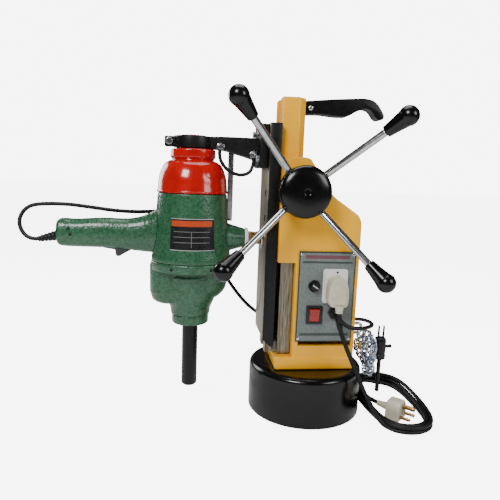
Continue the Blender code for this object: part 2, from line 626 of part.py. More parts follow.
def motor():
    turned("motor_cap", [
        (0, 0.4140), (0.018, 0.4140), (0.020, 0.4122), (0.020, 0.3942), (0.0312, 0.3942), (0.0326, 0.3925),
        (0.0326, 0.3828), (0.0312, 0.3808), (0.0296, 0.3785), (0.0350, 0.3768), (0.0415, 0.3725),
        (0.0464, 0.3630),
        (0.0494, 0.3520), (0.0508, 0.3315), (0.0475, 0.3315), (0.0462, 0.3460), (0.0330, 0.3600),
        (0.0153, 0.3600),
        (0.0153, 0.3697), (0, 0.3697)], red, slide_frame, (MOTOR_X, 0, 0), steps=26)

    housing = turned("motor_housing", [(0, 0.3310)] + motor_profile() + [(0, 0.2325)], green, slide_frame,
                     (MOTOR_X, 0, 0), steps=32)
    boss = cylinder("side_boss", (-0.142, 0, SUPPORT_Z), (-0.104, 0, SUPPORT_Z), 0.0265, None, None, 28,
                    0.014,
                    collection=helpers)
    hollow = turned("motor_hollow", [(0, 0.340), (0.0473, 0.340), (0.0473, 0.320), (0.0510, 0.265),
                                     (0.0545, 0.240),
                                     (0.0545, 0.225), (0, 0.225)], None, None, (MOTOR_X, 0, 0), steps=28,
                    collection=helpers)
    stud_bore = cutting_cylinder("boss_stud_bore", (-0.125, 0, SUPPORT_Z), (-0.10, 0, SUPPORT_Z), 0.0053, 16)
    join(housing, boss)
    cut(housing, hollow, stud_bore)
    turned("stator", [(0.0465, 0.315), (0.0465, 0.272), (0.0275, 0.272), (0.0275, 0.315)], dark_steel,
           slide_frame,
           (MOTOR_X, 0, 0), steps=28)


def gear_case():
    """The lower casting: gear chamber, offset to the layshaft's side, and the spindle's nose."""
    case = turned("gear_case", [
        (0, 0.2322), (0.0584, 0.2322), (0.0592, 0.2290), (0.0586, 0.2195), (0.0385, 0.2180), (0.0385, 0.2115),
        (0.0400, 0.2105), (0.0400, 0.2075), (0.0380, 0.2065), (0.0376, 0.1850), (0.0362, 0.1740),
        (0.0300, 0.1600),
        (0.0292, 0.1505), (0, 0.1505)], green, slide_frame, (MOTOR_X, 0, 0), steps=30)
    shoulders = turned("case_shoulders", [
        (0, 0.2250), (0.0572, 0.2250), (0.0562, 0.2050), (0.0511, 0.1865), (0.0410, 0.1765), (0.0300, 0.1732),
        (0, 0.1732)], None, None, (MOTOR_X, 0, 0), steps=28, collection=helpers)
    shoulders.scale.y = CASE_DEPTH
    bulge = turned("layshaft_bulge", [
        (0, 0.2260), (0.0312, 0.2260), (0.0308, 0.1850), (0.0270, 0.1720), (0.0200, 0.1680), (0, 0.1680)],
                   None, None,
        (LAYSHAFT_X, 0, 0), steps=28, collection=helpers)
    join(case, shoulders, bulge)
    room = cutting_cylinder("gear_room", (MOTOR_X, 0, 0.1790), (MOTOR_X, 0, 0.240), 0.0260, 32)
    lay_room = cutting_cylinder("layshaft_room", (LAYSHAFT_X, 0, 0.1790), (LAYSHAFT_X, 0, 0.240), 0.0255, 32)
    spindle_bore = cutting_cylinder("spindle_bore", (MOTOR_X, 0, 0.14), (MOTOR_X, 0, 0.19), 0.0193, 28)
    cut(case, room, lay_room, spindle_bore)
    turned("bearing_collar", [
        (0.0276, 0.1502), (0.0276, 0.1380), (0.0258, 0.1360), (0.0135, 0.1360), (0.0135, 0.1502)], green,
        slide_frame, (MOTOR_X, 0, 0), steps=24)
    turned("bearing_plate", [(0.0540, 0.2390), (0.0540, 0.2328), (0.0053, 0.2328), (0.0053, 0.2390)],
           steel, slide_frame, (MOTOR_X, 0, 0), steps=24)


def bearings():
    for name, at, outer, inner, low, high in (
            ("upper_bearing", MOTOR_X, 0.0150, 0.0053, 0.3603, 0.3690),
            ("spindle_bearing", MOTOR_X, 0.0190, 0.0122, 0.1508, 0.1640)):
        turned(name, [(outer, high), (outer, low), (inner, low), (inner, high)], polished_steel, slide_frame,
               (at, 0, 0), steps=20)


def rotating_parts():
    """Armature, layshaft and spindle with their gears; the two stages share one centre distance."""
    armature = cylinder("armature", (MOTOR_X, 0, 0.2130), (MOTOR_X, 0, 0.3690), 0.005, steel, armature_axis,
                        16)
    core = cylinder("armature_core", (MOTOR_X, 0, 0.272), (MOTOR_X, 0, 0.315), 0.0265, None, None, 24,
                    collection=helpers)
    commutator = cylinder("commutator", (MOTOR_X, 0, 0.325), (MOTOR_X, 0, 0.345), 0.013, None, None, 20,
                          collection=helpers)
    fan = cylinder("fan", (MOTOR_X, 0, 0.247), (MOTOR_X, 0, 0.257), 0.044, None, None, 24, collection=helpers)
    first = plate("first_pinion", gear_outline(FIRST_MODULE, FIRST_PINION, math.pi), "XY", 0.2135, 0.2285,
                  None,
                  at=(MOTOR_X, 0), collection=helpers)
    join(armature, core, commutator, fan, first)

    layshaft = plate("intermediate_gear", gear_outline(FIRST_MODULE, FIRST_WHEEL, math.pi / FIRST_WHEEL),
                     "XY",
                     0.2145, 0.2225, steel, layshaft_axis, at=(LAYSHAFT_X, 0))
    second = plate("second_pinion", gear_outline(SECOND_MODULE, SECOND_PINION, 0), "XY", 0.1845, 0.2160, None,
                   at=(LAYSHAFT_X, 0), collection=helpers)
    stub = cylinder("layshaft_stub", (LAYSHAFT_X, 0, 0.1795), (LAYSHAFT_X, 0, 0.2285), 0.005, None, None, 16,
                    collection=helpers)
    join(layshaft, second, stub)

    spindle = turned("spindle", [
        (0, 0.2105), (SPINDLE_RADIUS, 0.2105), (SPINDLE_RADIUS, SPINDLE_BOTTOM + 0.0025),
        (SPINDLE_RADIUS - 0.0025, SPINDLE_BOTTOM), (0.0076, SPINDLE_BOTTOM), (0.0058, SPINDLE_BOTTOM + 0.070),
        (0, SPINDLE_BOTTOM + 0.070)], dark_steel, spindle_axis, (MOTOR_X, 0, 0), steps=32)
    wheel = plate("spindle_wheel", gear_outline(SECOND_MODULE, SECOND_WHEEL,
                                                math.pi / SECOND_WHEEL + math.pi), "XY",
                  0.1865, 0.1985, None, at=(MOTOR_X, 0), collection=helpers)
    join(spindle, wheel)


def rear_handle():
    """The drill's straight handle, fitted to the motor housing, with a pocket for the trigger."""
    outline = [(-0.228, 0.3085), (-0.228, 0.2415), (-0.262, 0.2440), (-0.300, 0.2475), (-0.345, 0.2485),
               (-0.368, 0.2500), (-0.374, 0.2545), (-0.3742, 0.2840), (-0.368, 0.2895), (-0.350, 0.2925),
               (-0.315, 0.2925), (-0.285, 0.2910), (-0.262, 0.2940), (-0.245, 0.3010), (-0.234, 0.3080)]
    handle = plate("rear_handle", outline[::-1], "XZ", -0.0165, 0.0165, green, slide_frame, rounded=0.0065,
                   segments=2)
    root = turned("handle_seat", [(0, 0.345), (0.0511, 0.345)] + motor_profile(GAP) + [(0.0587, 0.220),
                                                                                       (0, 0.220)],
                  None, None, (MOTOR_X, 0, 0), steps=40, collection=helpers)
    pocket = cutting_box("trigger_pocket", (-0.3125, -0.0072, 0.20), (-0.2675, 0.0072, 0.2680))
    cut(handle, root, pocket)
    plate("trigger", [
        (-0.311, 0.2620), (-0.311, 0.2482), (-0.2975, 0.2462), (-0.2930, 0.2455), (-0.2922, 0.2366),
        (-0.2876, 0.2354),
        (-0.2775, 0.2415), (-0.269, 0.2460), (-0.269, 0.2620)], "XZ", -0.0065, 0.0065, trigger_grey,
          trigger_frame,
        rounded=0.0008)
    turned("strain_relief", [
        (CORD_RADIUS + 0.0009, 0.024), (0.0072, 0.0), (CORD_RADIUS + 0.0009, 0.0)], rubber, slide_frame,
        (-0.3762, 0, 0.2640), (-0.97, 0, -0.22), 16)


def name_plate():
    """A blank rating plate on the motor housing's front."""
    blank = box("rating_plate", (-0.2130, -0.0574, 0.2525), (-0.1500, -0.0440, 0.2980), dark_steel,
                slide_frame)
    seat = turned("plate_seat", [(0, 0.331)] + motor_profile(GAP) + [(0, 0.20)], None, None, (MOTOR_X, 0, 0),
                  steps=40, collection=helpers)
    cut(blank, seat)


# The stand's handle and what hangs on it
def carry_handle():
    outline = [
        (COLUMN_RIGHT + GAP, 0.4697), (COLUMN_RIGHT + GAP, 0.4508), (0.0010, 0.4521), (0.0240, 0.4498),
        (0.0410, 0.4503), (0.0470, 0.4532), (0.0559, 0.4589), (0.0680, 0.4635), (0.0760, 0.4615),
        (0.0805, 0.4570),
        (0.0855, 0.4503), (0.0905, 0.4475), (0.0965, 0.4487), (0.0989, 0.4536), (0.0956, 0.4600),
        (0.0900, 0.4680),
        (0.0852, 0.4726), (0.0790, 0.4762), (0.0700, 0.4780), (0.0600, 0.4778), (0.0200, 0.4745)]
    plate("carry_handle", outline, "XZ", -0.0105, 0.0105, black_plastic, rounded=0.004, segments=2)


def hanging_tools():
    """A staple on the box's right side with the bunched safety chain and the chuck key beside it."""
    wall = BODY_RIGHT + GAP
    staple = [(wall, -0.034, 0.1288), (0.073, -0.034, 0.1288), (0.0765, -0.034, 0.1315),
              (0.0765, -0.034, 0.1410),
              (0.073, -0.034, 0.1437), (wall, -0.034, 0.1437)]
    tube("chain_staple", staple, 0.0024, polished_steel, resolution=2)
    plate("safety_chain", [
        (0.0712, 0.1255), (0.0712, 0.0950), (0.0800, 0.0840), (0.0890, 0.0780), (0.0895, 0.0520),
        (0.0950, 0.0480),
        (0.1030, 0.0520), (0.1035, 0.0880), (0.1045, 0.1010), (0.1045, 0.1250), (0.0990, 0.1340),
        (0.0800, 0.1340),
        (0.0800, 0.1255)], "XZ", -0.040, -0.010, dark_steel, rounded=0.002)
    key = cylinder("chuck_key", (0.1135, -0.024, 0.0290), (0.1135, -0.024, 0.0850), 0.0032, dark_steel,
                   None, 14)
    head = cylinder("key_head", (0.1140, -0.024, 0.0830), (0.1140, -0.024, 0.1180), 0.0088, None, None, 20,
                    collection=helpers)
    lever = cylinder("key_bar", (0.1060, -0.024, 0.1015), (0.1320, -0.024, 0.1035), 0.0026, None, None, 12,
                     collection=helpers)
    join(key, head, lever)
    for n, x in enumerate((0.1098, 0.1176)):
        join(key, cylinder(f"key_prong_{n + 1}", (x, -0.024, 0.115), (x, -0.024, 0.1365), 0.0018, None,
                           None, 10,
                           collection=helpers))


# Cords
DRILL_CORD_UPPER = [
    (-0.3996, 0.0000, 0.2587), (-0.4104, 0.0010, 0.2587), (-0.4191, 0.0028, 0.2625),
    (-0.4262, 0.0055, 0.2704),
    (-0.4295, 0.0085, 0.2826), (-0.4262, 0.0120, 0.2948), (-0.4173, 0.0155, 0.3038),
    (-0.4050, 0.0185, 0.3071),
    (-0.3850, 0.0210, 0.3082), (-0.3600, 0.0235, 0.3075), (-0.3300, 0.0260, 0.3040),
    (-0.3000, 0.0300, 0.3003),
    (-0.2700, 0.0370, 0.2985), (-0.2450, 0.0470, 0.2990), (-0.2230, 0.0570, 0.2990)]
DRILL_CORD_SPAN = [
    (-0.2230, 0.0570, 0.2990), (-0.2060, 0.0645, 0.2955), (-0.1890, 0.0700, 0.2860),
    (-0.1730, 0.0730, 0.2700),
    (-0.1560, 0.0730, 0.2460), (-0.1380, 0.0705, 0.2150), (-0.1200, 0.0670, 0.1860),
    (-0.1010, 0.0635, 0.1610),
    (-0.0820, 0.0610, 0.1420), (-0.0620, 0.0600, 0.1290)]
DRILL_CORD_LOWER = [
    (-0.0620, 0.0600, 0.1290), (-0.0400, 0.0610, 0.1210), (-0.0100, 0.0640, 0.1165), (0.0230, 0.0665, 0.1155),
    (0.0500, 0.0655, 0.1180), (0.0730, 0.0570, 0.1225), (0.0890, 0.0400, 0.1280), (0.0965, 0.0170, 0.1340),
    (0.0970, -0.0090, 0.1390), (0.0930, -0.0350, 0.1430), (0.0840, -0.0570, 0.1465),
    (0.0700, -0.0730, 0.1485),
    (0.0560, -0.0800, 0.1495), (0.0440, -0.0815, 0.1510), (0.0345, -0.0812, 0.1560), (0.0278, -0.0805, 0.1622),
    (0.0259, -0.0800, 0.1678), (0.0258, -0.0800, 0.1698)]
MAINS_CORD = [
    (0.0286, -0.0608, 0.1646), (0.0287, -0.0655, 0.1637), (0.0290, -0.0700, 0.1608),
    (0.0294, -0.0728, 0.1565),
    (0.0303, -0.0738, 0.1500), (0.0335, -0.0742, 0.1390), (0.0400, -0.0750, 0.1230),
    (0.0490, -0.0762, 0.1030),
    (0.0600, -0.0780, 0.0790), (0.0710, -0.0800, 0.0545), (0.0820, -0.0820, 0.0345),
    (0.0920, -0.0840, 0.0205)]
PLUG_TAIL = [(0.1105, -0.0350, 0.0158), (0.1150, -0.0395, 0.0155), (0.1275, -0.0520, 0.0150)]


def shortened(route, start=GAP, end=GAP):
    """A route with each end face moved back by a gap."""
    route = [Vector(p) for p in route]
    first, last = route[1] - route[0], route[-2] - route[-1]
    route[0] += first.normalized() * start
    route[-1] += last.normalized() * end
    return route


def cords():
    for name, points, radius, joint in (
            ("drill_cord_upper", DRILL_CORD_UPPER, CORD_RADIUS, slide_frame),
            ("drill_cord_span", DRILL_CORD_SPAN, CORD_RADIUS, None),
            ("drill_cord_lower", DRILL_CORD_LOWER, CORD_RADIUS, None),
            ("mains_cord", MAINS_CORD, MAINS_RADIUS, None)):
        tube(name, shortened(smooth_route(points, 2.6 * 2 * radius)), radius, rubber, joint, 2)
    ring = []
    for n in range(36):
        angle = math.tau * n / 36
        straight = COIL_STRAIGHT * math.tanh(2.5 * math.sin(angle)) / math.tanh(2.5)
        ring.append(COIL_CENTRE + Vector((COIL_TURN * math.cos(angle),
                                          COIL_TURN * math.sin(angle) + straight, 0)))
    tube("mains_coil", ring, COIL_SECTION, rubber, resolution=2, closed=True)


def plugs():
    """The drill's plug in the outlet, and the stand's own plug lying beside its coil."""
    drill_plug = plate("drill_plug", [
        (0.0135, 0.1800), (0.0365, 0.1800), (0.0388, 0.1880), (0.0385, 0.2050), (0.0350, 0.2180),
        (0.0300, 0.2225),
        (0.0180, 0.2225), (0.0130, 0.2180), (0.0098, 0.2050), (0.0095, 0.1880)], "XZ", -0.0860, -0.0588,
                       cream_plastic,
        rounded=0.003)
    join(drill_plug, cylinder("drill_plug_collar", (0.0258, -0.0800, 0.1830), (0.0258, -0.0800, 0.1724),
                              0.0058, None,
                              None, 16, 0.0052, collection=helpers))

    ahead = Vector((math.sin(PLUG_TURN), -math.cos(PLUG_TURN), 0))
    side = Vector((math.cos(PLUG_TURN), math.sin(PLUG_TURN), 0))
    wide, high = PLUG_HALF_WIDTH, PLUG_HEIGHT
    body = plate("mains_plug", [
        (-wide, 0.0005), (wide, 0.0005), (wide * 0.92, high * 0.72), (wide * 0.6, high), (-wide * 0.6, high),
        (-wide * 0.92, high * 0.72)], "XZ", -PLUG_DEPTH / 2, PLUG_DEPTH / 2, cream_plastic, rounded=0.0025)
    body.rotation_mode = "XYZ"
    body.rotation_euler = (QUARTER, 0, PLUG_TURN)
    body.location = PLUG_CENTRE
    for n, (across, up, radius, length) in enumerate((
            (0, 0.0225, 0.0035, 0.018), (-0.0095, 0.0085, 0.0025, 0.0155), (0.0095, 0.0085, 0.0025, 0.0155))):
        start = PLUG_CENTRE + side * across + Vector((0, 0, up)) + ahead * (PLUG_DEPTH / 2 - 0.004)
        join(body, cylinder(f"plug_pin_{n + 1}", start, start + ahead * (length + 0.004), radius, None,
                            None, 12,
                            collection=helpers))
    tail = solid_from_curve(tube("plug_tail_route", PLUG_TAIL, MAINS_RADIUS, None, None, 2), "plug_tail",
                            None,
                            collection=helpers)
    join(body, tail)


lead_hole_cutter = magnet()
column(lead_hole_cutter)
dovetail_way()
slide()
feed_wheel()
shaft_bushes()
control_panel()
control_internals()
drill_arm()
arm_lead()
side_support()
motor()
gear_case()
bearings()
rotating_parts()
rear_handle()
name_plate()
carry_handle()
hanging_tools()
cords()
plugs()
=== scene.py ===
import math
import bmesh
import bpy
from mathutils import Euler, Matrix, Vector


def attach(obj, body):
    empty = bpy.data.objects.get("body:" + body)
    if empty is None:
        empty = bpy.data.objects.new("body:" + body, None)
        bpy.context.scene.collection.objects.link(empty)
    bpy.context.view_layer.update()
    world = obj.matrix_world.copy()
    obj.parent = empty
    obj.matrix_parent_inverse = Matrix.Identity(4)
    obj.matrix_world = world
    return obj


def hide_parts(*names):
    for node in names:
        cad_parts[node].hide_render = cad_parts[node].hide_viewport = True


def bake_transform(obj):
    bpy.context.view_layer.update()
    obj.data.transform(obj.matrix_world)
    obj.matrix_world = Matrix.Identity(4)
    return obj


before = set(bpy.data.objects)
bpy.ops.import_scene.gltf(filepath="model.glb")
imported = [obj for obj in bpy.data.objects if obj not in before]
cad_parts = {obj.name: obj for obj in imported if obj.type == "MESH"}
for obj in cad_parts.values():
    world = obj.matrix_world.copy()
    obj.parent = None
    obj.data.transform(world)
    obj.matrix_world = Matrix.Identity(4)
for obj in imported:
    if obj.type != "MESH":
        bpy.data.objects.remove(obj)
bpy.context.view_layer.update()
print("frame loaded:", len(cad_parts), "CAD nodes")

# camera, standing a little left of the drill and looking slightly down
cameraPlace = {"location": (-0.1844, -0.7264, 0.3564), "down": 8.43, "heading": -7.09, "roll": 2.13, "lens": 35.06}
camera = bpy.data.objects.new("camera", bpy.data.cameras.new("camera"))
camera.data.lens = cameraPlace["lens"]
camera.data.clip_start = 0.02
bpy.context.scene.collection.objects.link(camera)
camera.matrix_world = (Matrix.Translation(cameraPlace["location"])
                       @ Euler((math.radians(90 - cameraPlace["down"]), 0,
                                math.radians(cameraPlace["heading"]))).to_matrix().to_4x4()
                       @ Matrix.Rotation(math.radians(cameraPlace["roll"]), 4, "Z"))
bpy.context.scene.camera = camera


# ---- finishes
def addNode(tree, kind, inputs, **settings):
    node = tree.nodes.new(kind)
    for key, value in settings.items():
        setattr(node, key, value)
    for key, value in inputs.items():
        if isinstance(value, bpy.types.NodeSocket):
            tree.links.new(value, node.inputs[key])
        else:
            node.inputs[key].default_value = value
    return node


def boxMask(tree, place, low, high, soft=0.0002):
    # 1 inside a box in object space, 0 outside; None leaves a side open
    axes = addNode(tree, "ShaderNodeSeparateXYZ", {"Vector": place})
    mask = None
    for axis in range(3):
        for side, limit in ((1, low[axis]), (-1, high[axis])):
            if limit is None:
                continue
            edge = addNode(tree, "ShaderNodeMapRange", {
                "Value": axes.outputs[axis], "From Min": limit - soft * side, "From Max": limit + soft * side})
            mask = edge.outputs[0] if mask is None else addNode(
                tree, "ShaderNodeMath", {0: mask, 1: edge.outputs[0]}, operation="MULTIPLY").outputs[0]
    return mask


def makeFinish(name, s):
    # one procedural finish: mottled colour, uneven gloss and a surface relief
    material = bpy.data.materials.new(name)
    material.use_nodes = True
    tree = material.node_tree
    shader = tree.nodes["Principled BSDF"]
    place = addNode(tree, "ShaderNodeTexCoord", {}).outputs["Object"]
    mapped = addNode(tree, "ShaderNodeMapping", {"Vector": place, "Scale": s.get("stretch", (1, 1, 1))}).outputs[0]
    mottle = addNode(tree, "ShaderNodeTexNoise", {
        "Vector": mapped, "Scale": s["mottle"], "Detail": 5.0, "Roughness": 0.62}).outputs["Fac"]
    ramp = addNode(tree, "ShaderNodeValToRGB", {"Fac": mottle})
    ramp.color_ramp.elements[0].position = 0.34
    ramp.color_ramp.elements[0].color = (*s["dark"], 1)
    ramp.color_ramp.elements[1].position = 0.68
    ramp.color_ramp.elements[1].color = (*s["light"], 1)
    colour = ramp.outputs["Color"]
    if "smudge" in s:
        # a slow, faint darkening, as from handling
        slow = addNode(tree, "ShaderNodeTexNoise", {"Vector": place, "Scale": s["smudge"][0], "Detail": 3.0})
        share = addNode(tree, "ShaderNodeMapRange", {
            "Value": slow.outputs["Fac"], "From Min": 0.42, "From Max": 0.72, "To Max": s["smudge"][1]})
        mix = addNode(tree, "ShaderNodeMix", {}, data_type="RGBA")
        tree.links.new(share.outputs[0], mix.inputs[0])
        tree.links.new(colour, mix.inputs[6])
        mix.inputs[7].default_value = (*[0.45 * c for c in s["dark"]], 1)
        colour = mix.outputs[2]
    for low, high, shade in s.get("marks", ()):
        mix = addNode(tree, "ShaderNodeMix", {}, data_type="RGBA")
        tree.links.new(boxMask(tree, place, low, high), mix.inputs[0])
        tree.links.new(colour, mix.inputs[6])
        mix.inputs[7].default_value = (*shade, 1)
        colour = mix.outputs[2]
    tree.links.new(colour, shader.inputs["Base Color"])
    gloss = addNode(tree, "ShaderNodeTexNoise", {
        "Vector": mapped, "Scale": s["mottle"] * 0.45, "Detail": 4.0, "Roughness": 0.7})
    rough = addNode(tree, "ShaderNodeMapRange", {
        "Value": gloss.outputs["Fac"], "From Min": 0.3, "From Max": 0.7,
        "To Min": s["roughness"][0], "To Max": s["roughness"][1]})
    tree.links.new(rough.outputs[0], shader.inputs["Roughness"])
    kind, size, depth, strength = s["relief"]
    if kind == "cells":
        relief = addNode(tree, "ShaderNodeTexVoronoi", {"Vector": mapped, "Scale": size, "Smoothness": 0.6},
                         feature="SMOOTH_F1").outputs["Distance"]
    elif kind == "rings":
        relief = addNode(tree, "ShaderNodeTexWave", {"Vector": mapped, "Scale": size, "Distortion": 0.4},
                         wave_type="RINGS", rings_direction="Z").outputs["Fac"]
    else:
        relief = addNode(tree, "ShaderNodeTexNoise", {
            "Vector": mapped, "Scale": size, "Detail": 3.0}).outputs["Fac"]
    bump = addNode(tree, "ShaderNodeBump", {"Height": relief, "Distance": depth, "Strength": strength})
    tree.links.new(bump.outputs[0], shader.inputs["Normal"])
    shader.inputs["Metallic"].default_value = s.get("metallic", 0.0)
    shader.inputs["Coat Weight"].default_value = s.get("coat", 0.0)
    shader.inputs["Coat Roughness"].default_value = s.get("coatRoughness", 0.08)
    shader.inputs["Specular IOR Level"].default_value = s.get("specular", 0.5)
    if "glow" in s:
        shader.inputs["Emission Color"].default_value = (*s["light"], 1)
        if s.get("seenOnly"):  # bright to the camera, but throws no light
            rays = addNode(tree, "ShaderNodeLightPath", {})
            seen = addNode(tree, "ShaderNodeMath", {0: rays.outputs["Is Camera Ray"], 1: s["glow"]},
                           operation="MULTIPLY")
            tree.links.new(seen.outputs[0], shader.inputs["Emission Strength"])
        else:
            shader.inputs["Emission Strength"].default_value = s["glow"]
    return material


finishSettings = {
    "yellowPaint": {"dark": (1.0, 0.44, 0.0), "light": (1.0, 0.50, 0.0), "mottle": 45, "roughness": (0.30, 0.40),
                    "relief": ("grain", 900, 0.0004, 0.08), "coat": 0.12, "coatRoughness": 0.18, "smudge": (14, 0.08)},
    "glossBlack": {"dark": (0.0012, 0.0012, 0.0012), "light": (0.003, 0.003, 0.003), "mottle": 120,
                   "roughness": (0.16, 0.24), "relief": ("grain", 500, 0.0003, 0.05), "specular": 0.42},
    "slideBlack": {"dark": (0.0018, 0.0018, 0.0018), "light": (0.005, 0.005, 0.005), "mottle": 160,
                   "roughness": (0.32, 0.44), "relief": ("grain", 1100, 0.0004, 0.10), "specular": 0.35},
    "hammeredGreen": {"dark": (0.010, 0.066, 0.028), "light": (0.042, 0.150, 0.070), "mottle": 230,
                      "roughness": (0.24, 0.36), "relief": ("cells", 330, 0.0012, 0.34), "coat": 0.25,
                      "coatRoughness": 0.15, "smudge": (16, 0.25)},
    "glossRed": {"dark": (0.42, 0.0015, 0.001), "light": (0.56, 0.004, 0.002), "mottle": 50, "roughness": (0.14, 0.20),
                 "relief": ("grain", 420, 0.0004, 0.05), "coat": 0.35, "coatRoughness": 0.08},
    "panelGrey": {"dark": (0.13, 0.155, 0.150), "light": (0.20, 0.235, 0.228), "mottle": 420,
                  "roughness": (0.34, 0.50), "relief": ("cells", 520, 0.0008, 0.30), "marks": [
                      ((None, None, 0.2525), (None, None, None), (0.018, 0.040, 0.026)),
                      ((None, None, None), (None, None, 0.1212), (0.018, 0.040, 0.026)),
                      ((None, None, None), (-0.0262, None, None), (0.018, 0.040, 0.026)),
                      ((0.0547, None, None), (None, None, None), (0.018, 0.040, 0.026)),
                      ((-0.0190, None, 0.2440), (0.0470, None, 0.2495), (0.155, 0.060, 0.075)),
                      ((-0.0225, None, 0.2375), (0.0515, None, 0.2405), (0.040, 0.062, 0.052)),
                      ((-0.0225, None, 0.1285), (0.0515, None, 0.1330), (0.048, 0.070, 0.062))]},
    "blackPlastic": {"dark": (0.004, 0.004, 0.004), "light": (0.010, 0.010, 0.010), "mottle": 200,
                     "roughness": (0.28, 0.40), "relief": ("grain", 1500, 0.0003, 0.14)},
    "gripPlastic": {"dark": (0.0015, 0.0015, 0.0015), "light": (0.004, 0.004, 0.004), "mottle": 110,
                    "roughness": (0.22, 0.32), "relief": ("grain", 800, 0.0003, 0.08), "specular": 0.4},
    "greyPlastic": {"dark": (0.020, 0.020, 0.022), "light": (0.040, 0.040, 0.043), "mottle": 200,
                    "roughness": (0.38, 0.50), "relief": ("grain", 1500, 0.0003, 0.14)},
    "whitePlastic": {"dark": (0.76, 0.76, 0.73), "light": (0.84, 0.84, 0.81), "mottle": 60,
                     "roughness": (0.24, 0.34), "relief": ("grain", 900, 0.0002, 0.06), "coat": 0.2},
    "creamPlastic": {"dark": (0.63, 0.58, 0.44), "light": (0.73, 0.68, 0.53), "mottle": 60,
                     "roughness": (0.30, 0.42), "relief": ("grain", 900, 0.0003, 0.10)},
    # painted glow: the red rocker emits faintly, though no lamp in it is lit
    "rockerRed": {"dark": (0.20, 0.001, 0.001), "light": (0.42, 0.002, 0.002), "mottle": 90, "roughness": (0.16, 0.24),
                  "relief": ("grain", 500, 0.0002, 0.05), "coat": 0.5, "glow": 0.12},
    # machined steel: its brown-gold tint is partly stain and partly a painted reflection of the yellow casting
    "machinedSteel": {"dark": (0.11, 0.09, 0.06), "light": (0.42, 0.38, 0.29), "mottle": 60, "metallic": 1.0,
                      "stretch": (9, 9, 0.5), "roughness": (0.28, 0.48), "relief": ("grain", 140, 0.0003, 0.16)},
    "groundSteel": {"dark": (0.38, 0.38, 0.36), "light": (0.58, 0.58, 0.56), "mottle": 240, "metallic": 1.0,
                    "roughness": (0.22, 0.36), "relief": ("grain", 900, 0.0002, 0.10)},
    "brightSteel": {"dark": (0.50, 0.51, 0.52), "light": (0.70, 0.71, 0.72), "mottle": 130, "metallic": 1.0,
                    "roughness": (0.14, 0.24), "relief": ("grain", 500, 0.0002, 0.05)},
    "zincSteel": {"dark": (0.26, 0.28, 0.31), "light": (0.52, 0.55, 0.60), "mottle": 260, "metallic": 1.0,
                  "roughness": (0.24, 0.42), "relief": ("grain", 900, 0.0003, 0.15)},
    "chainZinc": {"dark": (0.42, 0.47, 0.56), "light": (0.74, 0.80, 0.90), "mottle": 260, "metallic": 1.0,
                  "roughness": (0.16, 0.30), "relief": ("grain", 900, 0.0003, 0.12)},
    "darkSteel": {"dark": (0.010, 0.010, 0.010), "light": (0.026, 0.026, 0.028), "mottle": 200, "metallic": 0.55,
                  "roughness": (0.26, 0.40), "relief": ("grain", 900, 0.0002, 0.10)},
    "blackSpindle": {"dark": (0.003, 0.003, 0.003), "light": (0.006, 0.006, 0.006), "mottle": 90,
                     "stretch": (1, 1, 6), "roughness": (0.34, 0.44), "relief": ("grain", 300, 0.0002, 0.10),
                     "specular": 0.3},
    "brass": {"dark": (0.32, 0.17, 0.055), "light": (0.52, 0.31, 0.12), "mottle": 180, "metallic": 1.0,
              "roughness": (0.24, 0.38), "relief": ("grain", 700, 0.0003, 0.12)},
    "castResin": {"dark": (0.040, 0.022, 0.008), "light": (0.085, 0.050, 0.018), "mottle": 60,
                  "roughness": (0.30, 0.50), "relief": ("grain", 220, 0.0005, 0.15)},
    "cordRubber": {"dark": (0.0025, 0.0025, 0.0025), "light": (0.006, 0.006, 0.006), "mottle": 220,
                   "roughness": (0.40, 0.54), "relief": ("grain", 1400, 0.0003, 0.16), "specular": 0.35},
    "plateFace": {"dark": (0.006, 0.006, 0.007), "light": (0.014, 0.014, 0.016), "mottle": 220,
                  "roughness": (0.24, 0.34), "relief": ("grain", 700, 0.0002, 0.06), "marks": [
                      ((None, None, None), (None, None, 0.2540), (0.42, 0.43, 0.43)),
                      ((None, None, 0.2965), (None, None, None), (0.42, 0.43, 0.43)),
                      ((-0.2105, None, 0.2865), (-0.1545, None, 0.2945), (0.50, 0.060, 0.012)),
                      ((-0.2075, None, 0.2790), (-0.1575, None, 0.2796), (0.24, 0.24, 0.23)),
                      ((-0.2075, None, 0.2715), (-0.1575, None, 0.2721), (0.24, 0.24, 0.23)),
                      ((-0.2075, None, 0.2640), (-0.1575, None, 0.2646), (0.24, 0.24, 0.23)),
                      ((-0.1832, None, 0.2575), (-0.1826, None, 0.2790), (0.24, 0.24, 0.23))]},
    "paleFloor": {"dark": (0.88, 0.88, 0.88), "light": (0.90, 0.90, 0.90), "mottle": 3, "roughness": (0.75, 0.85),
                  "relief": ("grain", 60, 0.0005, 0.01), "specular": 0.1, "glow": 7.0, "seenOnly": True},
}
finishes = {name: makeFinish(name, settings) for name, settings in finishSettings.items()}
print("finishes made:", len(finishes))


# ---- shaping helpers
def softened(points, fillet=0.0012, steps=4, closed=False):
    # rounds an outline's corners; a third number on a point is its own fillet
    count, result = len(points), []
    for i, point in enumerate(points):
        here = Vector(point[:2])
        reach = point[2] if len(point) > 2 else fillet
        if not reach or (not closed and i in (0, count - 1)):
            result.append(tuple(here))
            continue
        inward = Vector(points[i - 1][:2]) - here
        onward = Vector(points[(i + 1) % count][:2]) - here
        cut = min(reach, 0.45 * inward.length, 0.45 * onward.length)
        start, end = here + inward.normalized() * cut, here + onward.normalized() * cut
        for k in range(steps + 1):
            t = k / steps
            result.append(tuple(start * (1 - t) ** 2 + here * 2 * t * (1 - t) + end * t * t))
    return result


def arc(centre, radius, start, end, count):
    angles = [math.radians(start + (end - start) * i / (count - 1)) for i in range(count)]
    return [(centre[0] + radius * math.cos(a), centre[1] + radius * math.sin(a)) for a in angles]


def aimed(at, along=(0, 0, 1)):
    return Matrix.Translation(at) @ Vector(along).to_track_quat("Z", "Y").to_matrix().to_4x4()


